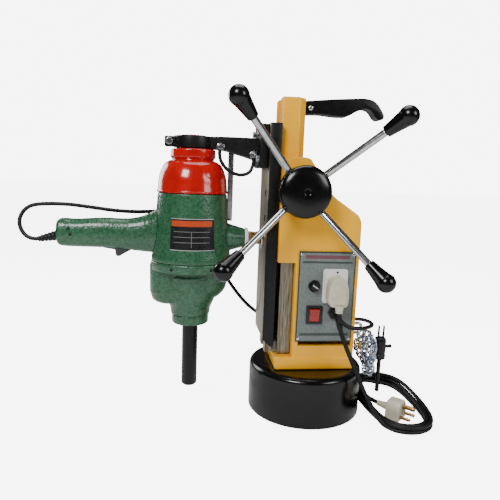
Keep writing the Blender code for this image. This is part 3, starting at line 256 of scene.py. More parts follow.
def turnedWork(profile, at=(0, 0, 0), along=(0, 0, 1), steps=64, fillet=0.0008, ring=False):
    # a profile of (radius, height) spun round an axis
    work = bmesh.new()
    verts = [work.verts.new((radius, 0, height)) for radius, height in softened(profile, fillet, 3, ring)]
    pairs = list(zip(verts, verts[1:])) + ([(verts[-1], verts[0])] if ring else [])
    edges = [work.edges.new(pair) for pair in pairs]
    bmesh.ops.spin(work, geom=verts + edges, cent=(0, 0, 0), axis=(0, 0, 1), dvec=(0, 0, 0), angle=math.tau,
                   steps=steps, use_merge=True, use_duplicate=False)
    bmesh.ops.remove_doubles(work, verts=work.verts, dist=0.000004)
    bmesh.ops.transform(work, matrix=aimed(at, along), verts=work.verts)
    bmesh.ops.recalc_face_normals(work, faces=work.faces)
    return work


planeSpots = {"XY": lambda a, b, c: (a, b, c), "XZ": lambda a, b, c: (a, c, b), "YZ": lambda a, b, c: (c, a, b)}


def slabWork(outline, plane, low, high, fillet=0.0, rim=0.0008, rimSteps=2, cornerAngle=30):
    # an outline with thickness and rounded edges
    work = bmesh.new()
    spot = planeSpots[plane]
    outline = softened(outline, fillet, 5, True) if fillet else [point[:2] for point in outline]
    face = work.faces.new([work.verts.new(spot(a, b, low)) for a, b in outline])
    grown = bmesh.ops.extrude_face_region(work, geom=[face])["geom"]
    bmesh.ops.translate(work, verts=[v for v in grown if isinstance(v, bmesh.types.BMVert)],
                        vec=spot(0, 0, high - low))
    bmesh.ops.recalc_face_normals(work, faces=work.faces)
    if rim:
        sharp = [edge for edge in work.edges if edge.calc_face_angle(0) > math.radians(cornerAngle)]
        bmesh.ops.bevel(work, geom=sharp, offset=rim, segments=rimSteps, profile=0.5, affect="EDGES", material=-1,
                        clamp_overlap=True)
    return work


def blockWork(low, high, rim=0.0008, rimSteps=2):
    return slabWork([(low[0], low[1]), (high[0], low[1]), (high[0], high[1]), (low[0], high[1])], "XY", low[2], high[2],
                    0, rim, rimSteps)


def rodWork(start, end, radius, farRadius=None, steps=32, rim=0.0004):
    start, end = Vector(start), Vector(end)
    far = radius if farRadius is None else farRadius
    length = (end - start).length
    return turnedWork([(0, 0), (radius, 0), (far, length), (0, length)], start, end - start, steps, rim)


def loftWork(stations, sides=36, power=2.5):
    # rings at (x, low z, high z, half width), bridged and closed at both ends
    work = bmesh.new()
    rings = []
    for x, low, high, half in stations:
        verts = bmesh.ops.create_circle(work, segments=sides, radius=1)["verts"]
        for vert in verts:
            a, b = vert.co.x, vert.co.y
            grow = (abs(a) ** power + abs(b) ** power) ** (-1 / power)
            vert.co = (x, a * grow * half, (low + high) / 2 + b * grow * (high - low) / 2)
        rings.append(list({edge for vert in verts for edge in vert.link_edges}))
    for near, far in zip(rings, rings[1:]):
        bmesh.ops.bridge_loops(work, edges=near + far)
    bmesh.ops.holes_fill(work, edges=rings[0] + rings[-1], sides=sides)
    bmesh.ops.recalc_face_normals(work, faces=work.faces)
    return work


def merged(*works):
    # several shells in one bmesh
    first = works[0]
    for other in works[1:]:
        carrier = bpy.data.meshes.new("carrier")
        other.to_mesh(carrier)
        other.free()
        first.from_mesh(carrier)
        bpy.data.meshes.remove(carrier)
    return first


def pieceFrom(name, work, finish, body, replaced=(), smoothAngle=40):
    mesh = bpy.data.meshes.new(name)
    work.to_mesh(mesh)
    work.free()
    mesh.materials.append(finishes[finish])
    mesh.shade_smooth()
    mesh.set_sharp_from_angle(angle=math.radians(smoothAngle))
    piece = bpy.data.objects.new(name, mesh)
    bpy.context.scene.collection.objects.link(piece)
    if body:
        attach(piece, body)
    if replaced:
        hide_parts(*replaced)
    return piece


def applied(piece):
    # replaces a piece's mesh with what its modifiers make of it
    graph = bpy.context.evaluated_depsgraph_get()
    made = bpy.data.meshes.new_from_object(piece.evaluated_get(graph), depsgraph=graph)
    piece.modifiers.clear()
    old, piece.data = piece.data, made
    bpy.data.meshes.remove(old)
    made.shade_smooth()
    made.set_sharp_from_angle(angle=math.radians(40))
    return piece


def carved(piece, works, operation="DIFFERENCE"):
    tools = []
    for work in works:
        mesh = bpy.data.meshes.new("tool")
        work.to_mesh(mesh)
        work.free()
        tool = bpy.data.objects.new("tool", mesh)
        bpy.context.scene.collection.objects.link(tool)
        tools.append(tool)
        boolean = piece.modifiers.new(operation.title(), "BOOLEAN")
        boolean.operation = operation
        boolean.object = tool
    bpy.context.view_layer.update()
    applied(piece)
    for tool in tools:
        mesh = tool.data
        bpy.data.objects.remove(tool)
        bpy.data.meshes.remove(mesh)
    return piece


def castOver(piece, voxel=0.0012, rounds=6):
    # melts a piece's shells into one skin with soft inner corners, as a casting has
    remesh = piece.modifiers.new("Skin", "REMESH")
    remesh.mode = "VOXEL"
    remesh.voxel_size = voxel
    smooth = piece.modifiers.new("Soften", "SMOOTH")
    smooth.factor = 0.5
    smooth.iterations = rounds
    bpy.context.view_layer.update()
    applied(piece)
    piece.data.set_sharp_from_angle(angle=math.radians(80))
    return piece


def softCopy(node, finish, body, rim=0.0):
    # a merged copy of a CAD node, smooth shaded, with its edges eased
    work = bmesh.new()
    work.from_mesh(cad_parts[node].data)
    bmesh.ops.remove_doubles(work, verts=work.verts, dist=0.000002)
    bmesh.ops.dissolve_limit(work, angle_limit=math.radians(1), verts=work.verts, edges=work.edges)
    if rim:
        sharp = [edge for edge in work.edges if edge.calc_face_angle(0) > math.radians(35)]
        bmesh.ops.bevel(work, geom=sharp, offset=rim, segments=1, profile=0.5, affect="EDGES", material=-1,
                        clamp_overlap=True)
    return pieceFrom(node + "Skin", work, finish, body, [node])


def dressed(node, finish):
    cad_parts[node].material_slots[0].material = finishes[finish]


def routeThrough(points, spacing):
    # points at an even spacing along a smooth curve through a route's points
    knots = [Vector(p) for p in points]
    knots = [2 * knots[0] - knots[1]] + knots + [2 * knots[-1] - knots[-2]]
    fine = []
    for a, b, c, d in zip(knots, knots[1:], knots[2:], knots[3:]):
        for i in range(24):
            t = i / 24
            fine.append(0.5 * (2 * b + (c - a) * t + (2 * a - 5 * b + 4 * c - d) * t * t
                               + (3 * b - a - 3 * c + d) * t ** 3))
    fine.append(knots[-2])
    lengths = [0.0]
    for a, b in zip(fine, fine[1:]):
        lengths.append(lengths[-1] + (b - a).length)
    count = max(2, round(lengths[-1] / spacing))
    route, i = [], 0
    for n in range(count + 1):
        target = lengths[-1] * n / count
        while i < len(fine) - 2 and lengths[i + 1] < target:
            i += 1
        share = (target - lengths[i]) / (lengths[i + 1] - lengths[i])
        route.append(fine[i].lerp(fine[i + 1], share))
    return route, lengths[-1]


def sleeveWork(path, radii, sides=16, closed=False):
    # a tube along a path, its radius given at each point
    work = bmesh.new()
    rings, side = [], None
    count = len(path)
    for i, (point, radius) in enumerate(zip(path, radii)):
        after = path[(i + 1) % count] if closed or i + 1 < count else path[i]
        before = path[i - 1] if closed or i else path[i]
        along = (after - before).normalized()
        if side is None:
            side = along.orthogonal().normalized()
        side = (side - along * side.dot(along)).normalized()
        up = along.cross(side)
        verts = bmesh.ops.create_circle(work, segments=sides, radius=radius)["verts"]
        turn = Matrix((side, up, along)).transposed().to_4x4()
        bmesh.ops.transform(work, matrix=Matrix.Translation(point) @ turn, verts=verts)
        rings.append(verts)
    pairs = list(zip(rings, rings[1:])) + ([(rings[-1], rings[0])] if closed else [])
    for near, far in pairs:
        for k in range(sides):
            work.faces.new((near[k - 1], near[k], far[k], far[k - 1]))
    if not closed:
        work.faces.new(rings[0][::-1])
        work.faces.new(rings[-1])
    bmesh.ops.recalc_face_normals(work, faces=work.faces)
    return work


def screwHead(name, at, along, radius, finish, body, slotTurn=0.6, high=0.0016):
    # a slotted pan head, sunk a little into its seat
    at, along = Vector(at), Vector(along).normalized()
    head = pieceFrom(name, turnedWork([(0, high), (radius * 0.55, high * 0.92), (radius, high * 0.35), (radius, -high),
                                       (0, -high)], at, along, 24, 0.0004), finish, body)
    cutter = blockWork((-radius * 1.2, -radius * 0.13, high * 0.45), (radius * 1.2, radius * 0.13, high * 2), 0)
    bmesh.ops.transform(cutter, matrix=aimed(at, along) @ Matrix.Rotation(slotTurn, 4, "Z"), verts=cutter.verts)
    return carved(head, [cutter])


# ---- cords
drillCord = {"radius": 0.003, "exit": (-0.3996, 0.0000, 0.2587), "route": [
    (-0.3996, 0.0000, 0.2587), (-0.4104, 0.0010, 0.2587), (-0.4191, 0.0028, 0.2625), (-0.4262, 0.0055, 0.2704),
    (-0.4295, 0.0085, 0.2826), (-0.4262, 0.0120, 0.2948), (-0.4173, 0.0155, 0.3038), (-0.4050, 0.0185, 0.3071),
    (-0.3850, 0.0210, 0.3082), (-0.3600, 0.0235, 0.3075), (-0.3300, 0.0260, 0.3040), (-0.3000, 0.0300, 0.3003),
    (-0.2700, 0.0370, 0.2985), (-0.2450, 0.0470, 0.2990), (-0.2230, 0.0570, 0.2990), (-0.2060, 0.0645, 0.2955),
    (-0.1890, 0.0700, 0.2860), (-0.1730, 0.0730, 0.2700), (-0.1560, 0.0730, 0.2460), (-0.1380, 0.0705, 0.2150),
    (-0.1200, 0.0670, 0.1860), (-0.1010, 0.0635, 0.1610), (-0.0820, 0.0610, 0.1420), (-0.0620, 0.0600, 0.1290),
    (-0.0400, 0.0610, 0.1210), (-0.0100, 0.0640, 0.1165), (0.0230, 0.0665, 0.1155), (0.0500, 0.0655, 0.1180),
    (0.0730, 0.0570, 0.1225), (0.0890, 0.0400, 0.1280), (0.0965, 0.0170, 0.1340), (0.0970, -0.0090, 0.1390),
    (0.0930, -0.0350, 0.1430), (0.0840, -0.0570, 0.1465), (0.0700, -0.0730, 0.1485), (0.0560, -0.0800, 0.1495),
    (0.0440, -0.0815, 0.1510), (0.0345, -0.0812, 0.1560), (0.0278, -0.0805, 0.1622), (0.0259, -0.0800, 0.1685),
    (0.0258, -0.0800, 0.1730)]}
mainsCord = {"radius": 0.00325, "exit": (0.0286, -0.0608, 0.1646), "route": [
    (0.0286, -0.0608, 0.1646), (0.0287, -0.0655, 0.1637), (0.0290, -0.0700, 0.1608), (0.0294, -0.0728, 0.1565),
    (0.0303, -0.0738, 0.1500), (0.0335, -0.0742, 0.1390), (0.0400, -0.0750, 0.1230), (0.0490, -0.0762, 0.1030),
    (0.0600, -0.0780, 0.0790), (0.0710, -0.0800, 0.0545), (0.0820, -0.0825, 0.0345), (0.0910, -0.0860, 0.0190),
    (0.1000, -0.0910, 0.0080)],
    "coilCentre": (0.1402, -0.0165), "endRadius": 0.0415, "straight": 0.047, "startTurn": 232, "endTurn": 1592,
    "tail": [(0.0978, 0.0130, 0.0166), (0.0984, -0.0010, 0.0170), (0.1003, -0.0140, 0.0172), (0.1040, -0.0255, 0.0170),
             (0.1105, -0.0350, 0.0160), (0.1165, -0.0410, 0.0153), (0.1225, -0.0470, 0.0150)]}


def smoothStep(low, high, value):
    t = min(1, max(0, (value - low) / (high - low)))
    return t * t * (3 - 2 * t)


def coilPoints(s):
    # four turns laid two by two, each stepping across or up where the turn before has left room
    points, turn = [], s["startTurn"]
    while turn < s["endTurn"]:
        u = turn - s["startTurn"]
        across = 1 - 2 * smoothStep(275, 352, u) + 2 * smoothStep(825, 905, u)
        level = smoothStep(550, 630, u) + 0.95 * smoothStep(1170, 1235, u)
        a = math.radians(turn)
        loose = 0.0010 * math.sin(2 * a + 0.7) + 0.0018 * across * max(0, math.sin(a - 0.4)) * (1 - min(level, 1))
        reach = s["endRadius"] + s["radius"] * 1.02 * across + loose
        run = s["straight"] * math.tanh(2.5 * math.sin(a)) / math.tanh(2.5)
        points.append(Vector((s["coilCentre"][0] + reach * math.cos(a), s["coilCentre"][1] + reach * math.sin(a) + run,
                              s["radius"] + 0.0003 + 2.02 * s["radius"] * level)))
        turn += 10
    return points


drillPath, drillLength = routeThrough(drillCord["route"], 0.006)
drillCordPiece = pieceFrom("drillCord", sleeveWork(drillPath, [drillCord["radius"]] * len(drillPath)), "cordRubber",
                           None)
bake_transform(drillCordPiece)
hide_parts("drill_cord_upper", "drill_cord_span", "drill_cord_lower")

mainsPath, mainsLength = routeThrough(mainsCord["route"] + coilPoints(mainsCord) + mainsCord["tail"], 0.0065)
mainsCordPiece = pieceFrom("mainsCord", sleeveWork(mainsPath, [mainsCord["radius"]] * len(mainsPath), 12),
                           "cordRubber", "stand", ["mains_cord", "mains_coil"])
print("cords laid: drill", round(drillLength, 3), "m, mains", round(mainsLength, 3), "m")

# ---- the magnet
magnet = {"radius": 0.0875, "height": 0.075, "coilInner": 0.040, "coilOuter": 0.066, "coilTop": 0.042}
pot = pieceFrom("magnetPot", turnedWork([
    (0, magnet["height"]), (0.0790, magnet["height"], 0.003), (0.0838, 0.0733, 0.003), (0.0868, 0.0698, 0.003),
    (magnet["radius"], 0.0660, 0.003), (magnet["radius"], 0.0015), (0.0862, 0), (magnet["coilOuter"], 0, 0),
    (magnet["coilOuter"], magnet["coilTop"], 0), (magnet["coilInner"], magnet["coilTop"], 0),
    (magnet["coilInner"], 0, 0), (0, 0)], steps=128), "glossBlack", "stand", ["magnet_pot"])
carved(pot, [rodWork((0.045, 0.02, 0.03), (0.045, 0.02, 0.09), 0.004)])
dressed("magnet_coil", "castResin")
print("magnet made")

# ---- the yellow casting
casting = {"halfWidth": 0.046, "right": 0.0626, "floor": 0.0753, "shoulder": 0.305, "top": 0.472,
           "feed": (-0.031, 0.345), "feedRadius": 0.043}
body = [(-0.0585, 0.2367), (-0.032, 0.2367), (-0.032, casting["floor"]), (casting["right"], casting["floor"]),
        (casting["right"], casting["shoulder"], 0.012), (0.017, 0.335, 0.010)]
body += arc(casting["feed"], casting["feedRadius"], 72, 129, 14) + [(-0.0585, 0.352)]
columnPiece = pieceFrom("columnCasting", slabWork(body, "XZ", -casting["halfWidth"], casting["halfWidth"], 0.0015,
                                                  0.0030, 3), "yellowPaint", "stand", ["column_casting"])
post = slabWork([(-0.058, -0.027), (-0.033, -0.027), (-0.023, -0.018), (-0.023, 0.018), (-0.033, 0.027),
                 (-0.058, 0.027)], "XY", 0.30, casting["top"], 0, 0.0014, 3)
flange = blockWork((-0.057, -0.048, casting["floor"]), (0.0612, 0.048, 0.095), 0.0030, 3)
carved(columnPiece, [post, flange], "UNION")
carved(columnPiece, [
    blockWork((-0.060, -0.0223, 0.2), (-0.0447, 0.0223, 0.4343), 0),
    blockWork((-0.061, -0.0088, 0.2), (-0.0425, 0.0088, 0.48), 0),
    rodWork((-0.031, -0.0088, 0.340), (-0.031, 0.0088, 0.340), 0.0175, rim=0),
    rodWork((-0.031, -0.06, 0.340), (-0.031, 0.06, 0.340), 0.0093, rim=0),
    blockWork((-0.0235, -0.06, 0.112), (0.0575, 0.038, 0.250), 0),
    rodWork((0.045, 0.02, 0.03), (0.045, 0.02, 0.125), 0.004, rim=0)])
for n, (x, y) in enumerate(((-0.0335, -0.0105), (-0.0335, 0.0105))):
    screwHead(f"columnTopScrew{n + 1}", (x, y, casting["top"]), (0, 0, 1), 0.0038, "zincSteel", "stand",
              0.4 + n, 0.0030)
softCopy("dovetail_way", "machinedSteel", "stand")
print("casting made")

# ---- the slide with its rack and gib
slideSize = {"front": -0.076, "back": -0.059, "slot": -0.070, "half": 0.040, "low": 0.109, "high": 0.434}


def flankY(x, outwards):
    share = (x + 0.0585) / (-0.0696 + 0.0585)
    return 0.020 + share * 0.007 + outwards


s = slideSize
slidePiece = pieceFrom("slidePlate", slabWork([
    (s["front"], -s["half"]), (s["back"], -s["half"]), (s["back"], -flankY(s["back"], 0.0004)),
    (s["slot"], -flankY(s["slot"], 0.0004)), (s["slot"], flankY(s["slot"], 0.0048)),
    (s["back"], flankY(s["back"], 0.0048)), (s["back"], s["half"]), (s["front"], s["half"])],
    "XY", s["low"], s["high"], 0, 0.0008, 2), "slideBlack", "drill_slide", ["slide"])
toe = slabWork([(-0.077, 0.108), (-0.0635, 0.108), (-0.077, 0.1215)], "XZ", -0.05, 0.05, 0, 0)
carved(slidePiece, [toe, rodWork((-0.080, 0, 0.267), (-0.0715, 0, 0.267), 0.0053, rim=0)] + [
    rodWork((-0.080, -0.0145, z), (-0.0725, -0.0145, z), 0.0048, rim=0) for z in (0.298, 0.335)])
slidePiece.data.materials.append(finishes["machinedSteel"])
for face in slidePiece.data.polygons:
    if face.normal.x < -0.9 or face.normal.z > 0.9:  # ground front and top
        face.material_index = 1
softCopy("rack", "groundSteel", "drill_slide")
softCopy("gib_strip", "brass", "drill_slide")
gibScrews = {"heights": (0.150, 0.205, 0.260, 0.315, 0.370, 0.415), "x": -0.0655}
for n, z in enumerate(gibScrews["heights"]):
    place = (gibScrews["x"], 0.040, z)
    pieceFrom(f"gibScrew{n + 1}", merged(
        rodWork(place, (place[0], 0.0425, z), 0.0040, steps=6, rim=0.0003),
        rodWork(place, (place[0], 0.0460, z), 0.0022, steps=16)), "zincSteel", "drill_slide")
print("slide made")

# ---- the feed wheel
wheel = {"centre": (-0.031, 0.340), "angle": 41.6, "rod": 0.005, "rodStart": (0.024, -0.071),
         "knobAt": (0.150, -0.134), "knob": 0.013, "neck": 0.033}
hub = pieceFrom("feedHub", turnedWork([
    (0, 0.0912), (0.0042, 0.0912), (0.0050, 0.0918, 0.0003), (0.0100, 0.0919), (0.020, 0.0912, 0.004),
    (0.0290, 0.0893, 0.004), (0.0345, 0.0860, 0.004), (0.0362, 0.0815, 0.003), (0.0362, 0.0690, 0.003),
    (0.0335, 0.0635, 0.003), (0.0290, 0.0622), (0.0160, 0.0615), (0.0155, 0.0525), (0.0063, 0.0525, 0),
    (0.0063, 0.0859, 0), (0, 0.0859)], (-0.031, 0, 0.340), (0, -1, 0), 96), "glossBlack", "feed_wheel",
    ["feed_hub"])
sockets = []
for n in range(4):
    turn = math.radians(wheel["angle"] + 90 * n)
    out = Vector((math.cos(turn), 0, math.sin(turn)))
    base = Vector((wheel["centre"][0], 0, wheel["centre"][1]))
    start = base + out * wheel["rodStart"][0] + Vector((0, wheel["rodStart"][1], 0))
    ball = base + out * wheel["knobAt"][0] + Vector((0, wheel["knobAt"][1], 0))
    along = (ball - start).normalized()
    length = (ball - start).length
    sockets.append(rodWork(start, start + along * 0.03, wheel["rod"] + 0.0003, rim=0))
    pieceFrom(f"spokeRod{n + 1}", turnedWork([
        (0, 0.0003), (wheel["rod"] - 0.0006, 0.0003), (wheel["rod"], 0.0012), (wheel["rod"], length - 0.0340),
        (wheel["rod"] - 0.0004, length - 0.0332), (wheel["rod"] - 0.0004, length - 0.0035), (0, length - 0.0035)],
        start, along, 32, 0.0004), "brightSteel", "feed_wheel", [f"spoke_{n + 1}"])
    r = wheel["knob"]
    pieceFrom(f"ballKnob{n + 1}", turnedWork(
        [(0, r)] + arc((0, 0), r, 84, -28, 18) + [(0.0095, -0.0190, 0.010), (0.0078, -0.0318, 0.002),
                                                 (0.0074, -wheel["neck"]), (0.0053, -wheel["neck"], 0),
                                                 (0.0053, -0.0032, 0), (0, -0.0032)], ball, along, 48, 0.0004),
        "glossBlack", "feed_wheel", [f"knob_{n + 1}"])
carved(hub, sockets)
softCopy("pinion_shaft", "groundSteel", "feed_wheel")
softCopy("front_bush", "brass", "stand")
softCopy("rear_bush", "brass", "stand")
print("feed wheel made")

# ---- the control panel
panel = {"front": -0.0488, "fuse": (-0.0039, 0.204), "switch": (-0.002, 0.161), "gland": (0.0286, 0.1646)}
softCopy("control_panel", "panelGrey", "stand")
for n, (x, z) in enumerate(((-0.0242, 0.2505), (0.0527, 0.2510), (-0.0242, 0.1235), (0.0527, 0.1235))):
    screwHead(f"panelScrew{n + 1}", (x, panel["front"], z), (0, -1, 0), 0.0024, "brightSteel", "stand",
              0.5 + n * 0.7, 0.0011)
pieceFrom("fuseHolder", turnedWork([
    (0.0076, 0.0532), (0.0081, 0.0522), (0.0081, 0.0500), (0.0090, 0.0494), (0.0090, 0.0491), (0.0059, 0.0491, 0),
    (0.0059, 0.020), (0.0, 0.020), (0.0, 0.022), (0.0045, 0.022, 0), (0.0045, 0.0532, 0)],
    (panel["fuse"][0], 0, panel["fuse"][1]), (0, -1, 0), 48, 0.0004), "blackPlastic", "stand",
    ["fuse_holder"])
cap = pieceFrom("fuseCap", turnedWork([
    (0, 0.0583), (0.0052, 0.0581), (0.0063, 0.0572), (0.0066, 0.0538), (0.0042, 0.0537), (0.0042, 0.046), (0, 0.046)],
    (panel["fuse"][0], 0, panel["fuse"][1]), (0, -1, 0), 48, 0.0005), "darkSteel", "fuse_cap_body",
    ["fuse_cap"])
groove = blockWork((-0.0050, -0.0009, 0.0571), (0.0050, 0.0009, 0.062), 0)
bmesh.ops.transform(groove, matrix=aimed((panel["fuse"][0], 0, panel["fuse"][1]), (0, -1, 0))
                    @ Matrix.Rotation(math.radians(-32), 4, "Z"), verts=groove.verts)
carved(cap, [groove])
cap.data.materials.append(finishes["brightSteel"])
for face in cap.data.polygons:
    if -0.0573 < face.center.y < -0.0568 and face.normal.y < -0.9:
        face.material_index = 1  # bare metal in the slot

x, z = panel["switch"]
bezel = pieceFrom("switchBezel", merged(
    blockWork((x - 0.012, -0.0518, z - 0.0135), (x + 0.012, -0.0491, z + 0.0135), 0.0008, 3)),
    "blackPlastic", "stand", ["switch_body"])
carved(bezel, [blockWork((x - 0.0095, -0.0500, z - 0.0110), (x + 0.0095, -0.026, z + 0.0110), 0)], "UNION")
carved(bezel, [blockWork((x - 0.0078, -0.06, z - 0.0106), (x + 0.0078, -0.0435, z + 0.0106), 0)])
tilt = math.radians(8)
side = [(0.0055, -0.004), (0, -0.0096), (-0.0035, -0.0096, 0.0012), (-0.0023, 0, 0.006), (-0.0035, 0.0096, 0.0012),
        (0, 0.0096), (0.0055, 0.004)]
side = [(y * math.cos(tilt) - h * math.sin(tilt) - 0.0505, y * math.sin(tilt) + h * math.cos(tilt) + z, *rest)
        for y, h, *rest in side]
pieceFrom("powerRocker", slabWork(side, "YZ", x - 0.0075, x + 0.0075, 0.0005, 0.0007, 2), "rockerRed", "rocker",
          ["power_rocker"])

outlet = pieceFrom("outletSocket", merged(
    slabWork([(0.008, 0.179), (0.0445, 0.179), (0.0445, 0.230), (0.008, 0.230)], "XZ", -0.0530, -0.0491, 0.0045, 0.0010, 3),
    slabWork([(0.0095, 0.1805), (0.0432, 0.1805), (0.0432, 0.2285), (0.0095, 0.2285)], "XZ", -0.0585, -0.0525, 0.0060,
             0.0018, 4),
    blockWork((0.0148, -0.052, 0.1863), (0.0392, -0.030, 0.2217), 0.0008)), "whitePlastic", "stand",
    ["outlet_socket"])
screwHead("outletScrew", (0.0270, -0.0583, 0.2262), (0, -1, 0), 0.0017, "darkSteel", "stand", 0.3, 0.0006)
pieceFrom("cordGland", merged(
    rodWork((0.0286, -0.0491, 0.1646), (0.0286, -0.0535, 0.1646), 0.0104, steps=6, rim=0.0006),
    turnedWork([(0.0045, 0.0605), (0.0062, 0.0600), (0.0078, 0.0575), (0.0084, 0.0545), (0.0084, 0.0500),
                (0.0065, 0.0485), (0.0065, 0.036), (0.0045, 0.036)], (0.0286, 0, 0.1646), (0, -1, 0), 32, 0.0006,
               True)), "blackPlastic", "stand", ["cord_gland"])
bootPath = mainsPath[:5]
bootPiece = pieceFrom("mainsBoot", sleeveWork(
    routeThrough(bootPath, 0.0013)[0],
    [0.0058 - 0.0020 * i / 20 + (0.00035 if i % 3 == 0 else 0) for i in range(21)]), "cordRubber", "stand")
dressed("rectifier", "blackPlastic")
print("panel made")

# ---- the drill's own plug, bell shaped, in the outlet
plugShape = {"front": -0.0860, "back": -0.0588, "outline": [
    (0.0135, 0.1800), (0.0365, 0.1800), (0.0388, 0.1880), (0.0385, 0.2050), (0.0350, 0.2180), (0.0300, 0.2225),
    (0.0180, 0.2225), (0.0130, 0.2180), (0.0098, 0.2050), (0.0095, 0.1880)]}
drillPlug = pieceFrom("drillPlug", merged(
    slabWork(plugShape["outline"], "XZ", -0.0830, plugShape["back"], 0.006, 0.0036, 5),
    slabWork([(0.0155, 0.1840), (0.0345, 0.1840), (0.0350, 0.1960), (0.0320, 0.2100), (0.0240, 0.2150),
              (0.0160, 0.2100), (0.0130, 0.1960)], "XZ", plugShape["front"], -0.0780, 0.006, 0.0026, 4),
    turnedWork([(0, 0.0110), (0.0070, 0.0110), (0.0062, 0.0080), (0.0056, 0.0070), (0.0060, 0.0062), (0.0054, 0.0052),
                (0.0057, 0.0044), (0.0052, 0.0034), (0.0050, 0), (0, 0)], (0.0258, -0.0800, 0.1722), (0, 0, 1), 32,
               0.0005)), "creamPlastic", "stand", ["drill_plug"])

# ---- the mains plug beside its coil
mainsPlug = {"centre": (0.1325, -0.0570, 0.0), "turn": 45, "halfWidth": 0.0165, "height": 0.030, "depth": 0.022}
p = mainsPlug
shell = slabWork([(-p["halfWidth"], 0.0005), (p["halfWidth"], 0.0005), (p["halfWidth"] * 0.94, 0.0200),
                  (p["halfWidth"] * 0.62, p["height"]), (-p["halfWidth"] * 0.62, p["height"]),
                  (-p["halfWidth"] * 0.94, 0.0200)], "XZ", -p["depth"] / 2, p["depth"] / 2, 0.005, 0.0026, 4)
pins = [rodWork((across, -p["depth"] / 2 + 0.003, up), (across, -p["depth"] / 2 - length, up), radius, rim=0.0009)
        for across, up, radius, length in ((0, 0.0225, 0.0035, 0.018), (-0.0095, 0.0085, 0.0025, 0.0155),
                                           (0.0095, 0.0085, 0.0025, 0.0155))]
turned = Matrix.Translation(p["centre"]) @ Matrix.Rotation(math.radians(p["turn"]), 4, "Z")
for work in [shell] + pins:
    bmesh.ops.transform(work, matrix=turned, verts=work.verts)
mainsPlugPiece = pieceFrom("mainsPlug", shell, "creamPlastic", "stand", ["mains_plug"])
pinPiece = pieceFrom("mainsPlugPins", merged(*pins), "brass", "stand")
collarPiece = pieceFrom("mainsPlugCollar", sleeveWork(
    [Vector((0.1255, -0.0500, 0.0150)), Vector((0.1225, -0.0470, 0.0150)), Vector((0.1165, -0.0410, 0.0153)),
     Vector((0.1120, -0.0365, 0.0158))], [0.0066, 0.0062, 0.0048, 0.0040]), "creamPlastic", "stand")
print("plugs made")

# ---- the carry handle
grip = {"half": 0.0105, "outline": [
    (-0.0227, 0.4697), (-0.0227, 0.4508), (0.0010, 0.4521, 0.008), (0.0240, 0.4498, 0.010), (0.0410, 0.4503, 0.008),
    (0.0470, 0.4532, 0.004), (0.0559, 0.4589, 0.006), (0.0680, 0.4635, 0.005), (0.0760, 0.4615, 0.004),
    (0.0805, 0.4570, 0.004), (0.0855, 0.4503, 0.003), (0.0905, 0.4475, 0.003), (0.0965, 0.4487, 0.003),
    (0.0989, 0.4536, 0.003), (0.0956, 0.4600, 0.005), (0.0900, 0.4680, 0.006), (0.0852, 0.4726, 0.005),
    (0.0790, 0.4762, 0.005), (0.0700, 0.4780, 0.008), (0.0600, 0.4778, 0.008), (0.0200, 0.4745, 0.010)]}
pieceFrom("carryHandle", slabWork(grip["outline"], "XZ", -grip["half"], grip["half"], 0.002, 0.0042, 5, 50),
          "gripPlastic", "stand", ["carry_handle"])
for n, y in enumerate((-1, 1)):
    screwHead(f"gripScrew{n + 1}", (-0.0140, y * grip["half"], 0.4600), (0, y, 0), 0.0036, "brightSteel", "stand",
              0.3, 0.0013)
print("carry handle made")

# ---- the staple, the safety chain and the chuck key
staple = {"wire": 0.0024, "route": [(0.0629, -0.034, 0.1288), (0.073, -0.034, 0.1288), (0.0765, -0.034, 0.1315),
                                    (0.0765, -0.034, 0.1410), (0.073, -0.034, 0.1437), (0.0629, -0.034, 0.1437)]}
staplePath = [Vector((x, -0.034, z)) for x, z in softened([(a, c) for a, b, c in staple["route"]], 0.0015, 4)]
pieceFrom("chainStaple", sleeveWork(staplePath, [staple["wire"]] * len(staplePath), 14), "brightSteel", "stand",
          ["chain_staple"])
for n, z in enumerate((0.1288, 0.1437)):
    pieceFrom(f"stapleNut{n + 1}", turnedWork([(0, 0.0026), (0.0040, 0.0026), (0.0047, 0.0016), (0.0047, 0),
                                              (0, 0)], (0.0627, -0.034, z), (1, 0, 0), 24, 0.0005),
              "whitePlastic", "stand")

chain = {"wire": 0.0016, "half": 0.0038, "length": 0.0130, "pitch": 0.0090, "strands": [
    (0.0790, -0.0335, 0.1300), (0.0755, -0.0290, 0.1200), (0.0750, -0.0240, 0.1060), (0.0800, -0.0180, 0.0920),
    (0.0900, -0.0180, 0.0780), (0.0940, -0.0200, 0.0600), (0.0985, -0.0240, 0.0560), (0.0990, -0.0240, 0.0760),
    (0.0975, -0.0250, 0.1000), (0.0965, -0.0270, 0.1200), (0.0900, -0.0300, 0.1270), (0.0850, -0.0320, 0.1120),
    (0.0865, -0.0330, 0.0920), (0.0920, -0.0340, 0.0720), (0.0975, -0.0340, 0.0640), (0.0995, -0.0330, 0.0860),
    (0.1000, -0.0320, 0.1100), (0.0950, -0.0180, 0.1240), (0.0860, -0.0150, 0.1160), (0.0830, -0.0260, 0.1000),
    (0.0880, -0.0280, 0.0850), (0.0950, -0.0290, 0.0760), (0.0985, -0.0355, 0.0950), (0.0975, -0.0360, 0.1150),
    (0.0880, -0.0370, 0.1200), (0.0790, -0.0360, 0.1080), (0.0800, -0.0350, 0.0980)]}
chainPath = routeThrough(chain["strands"], chain["pitch"])[0]
links = []
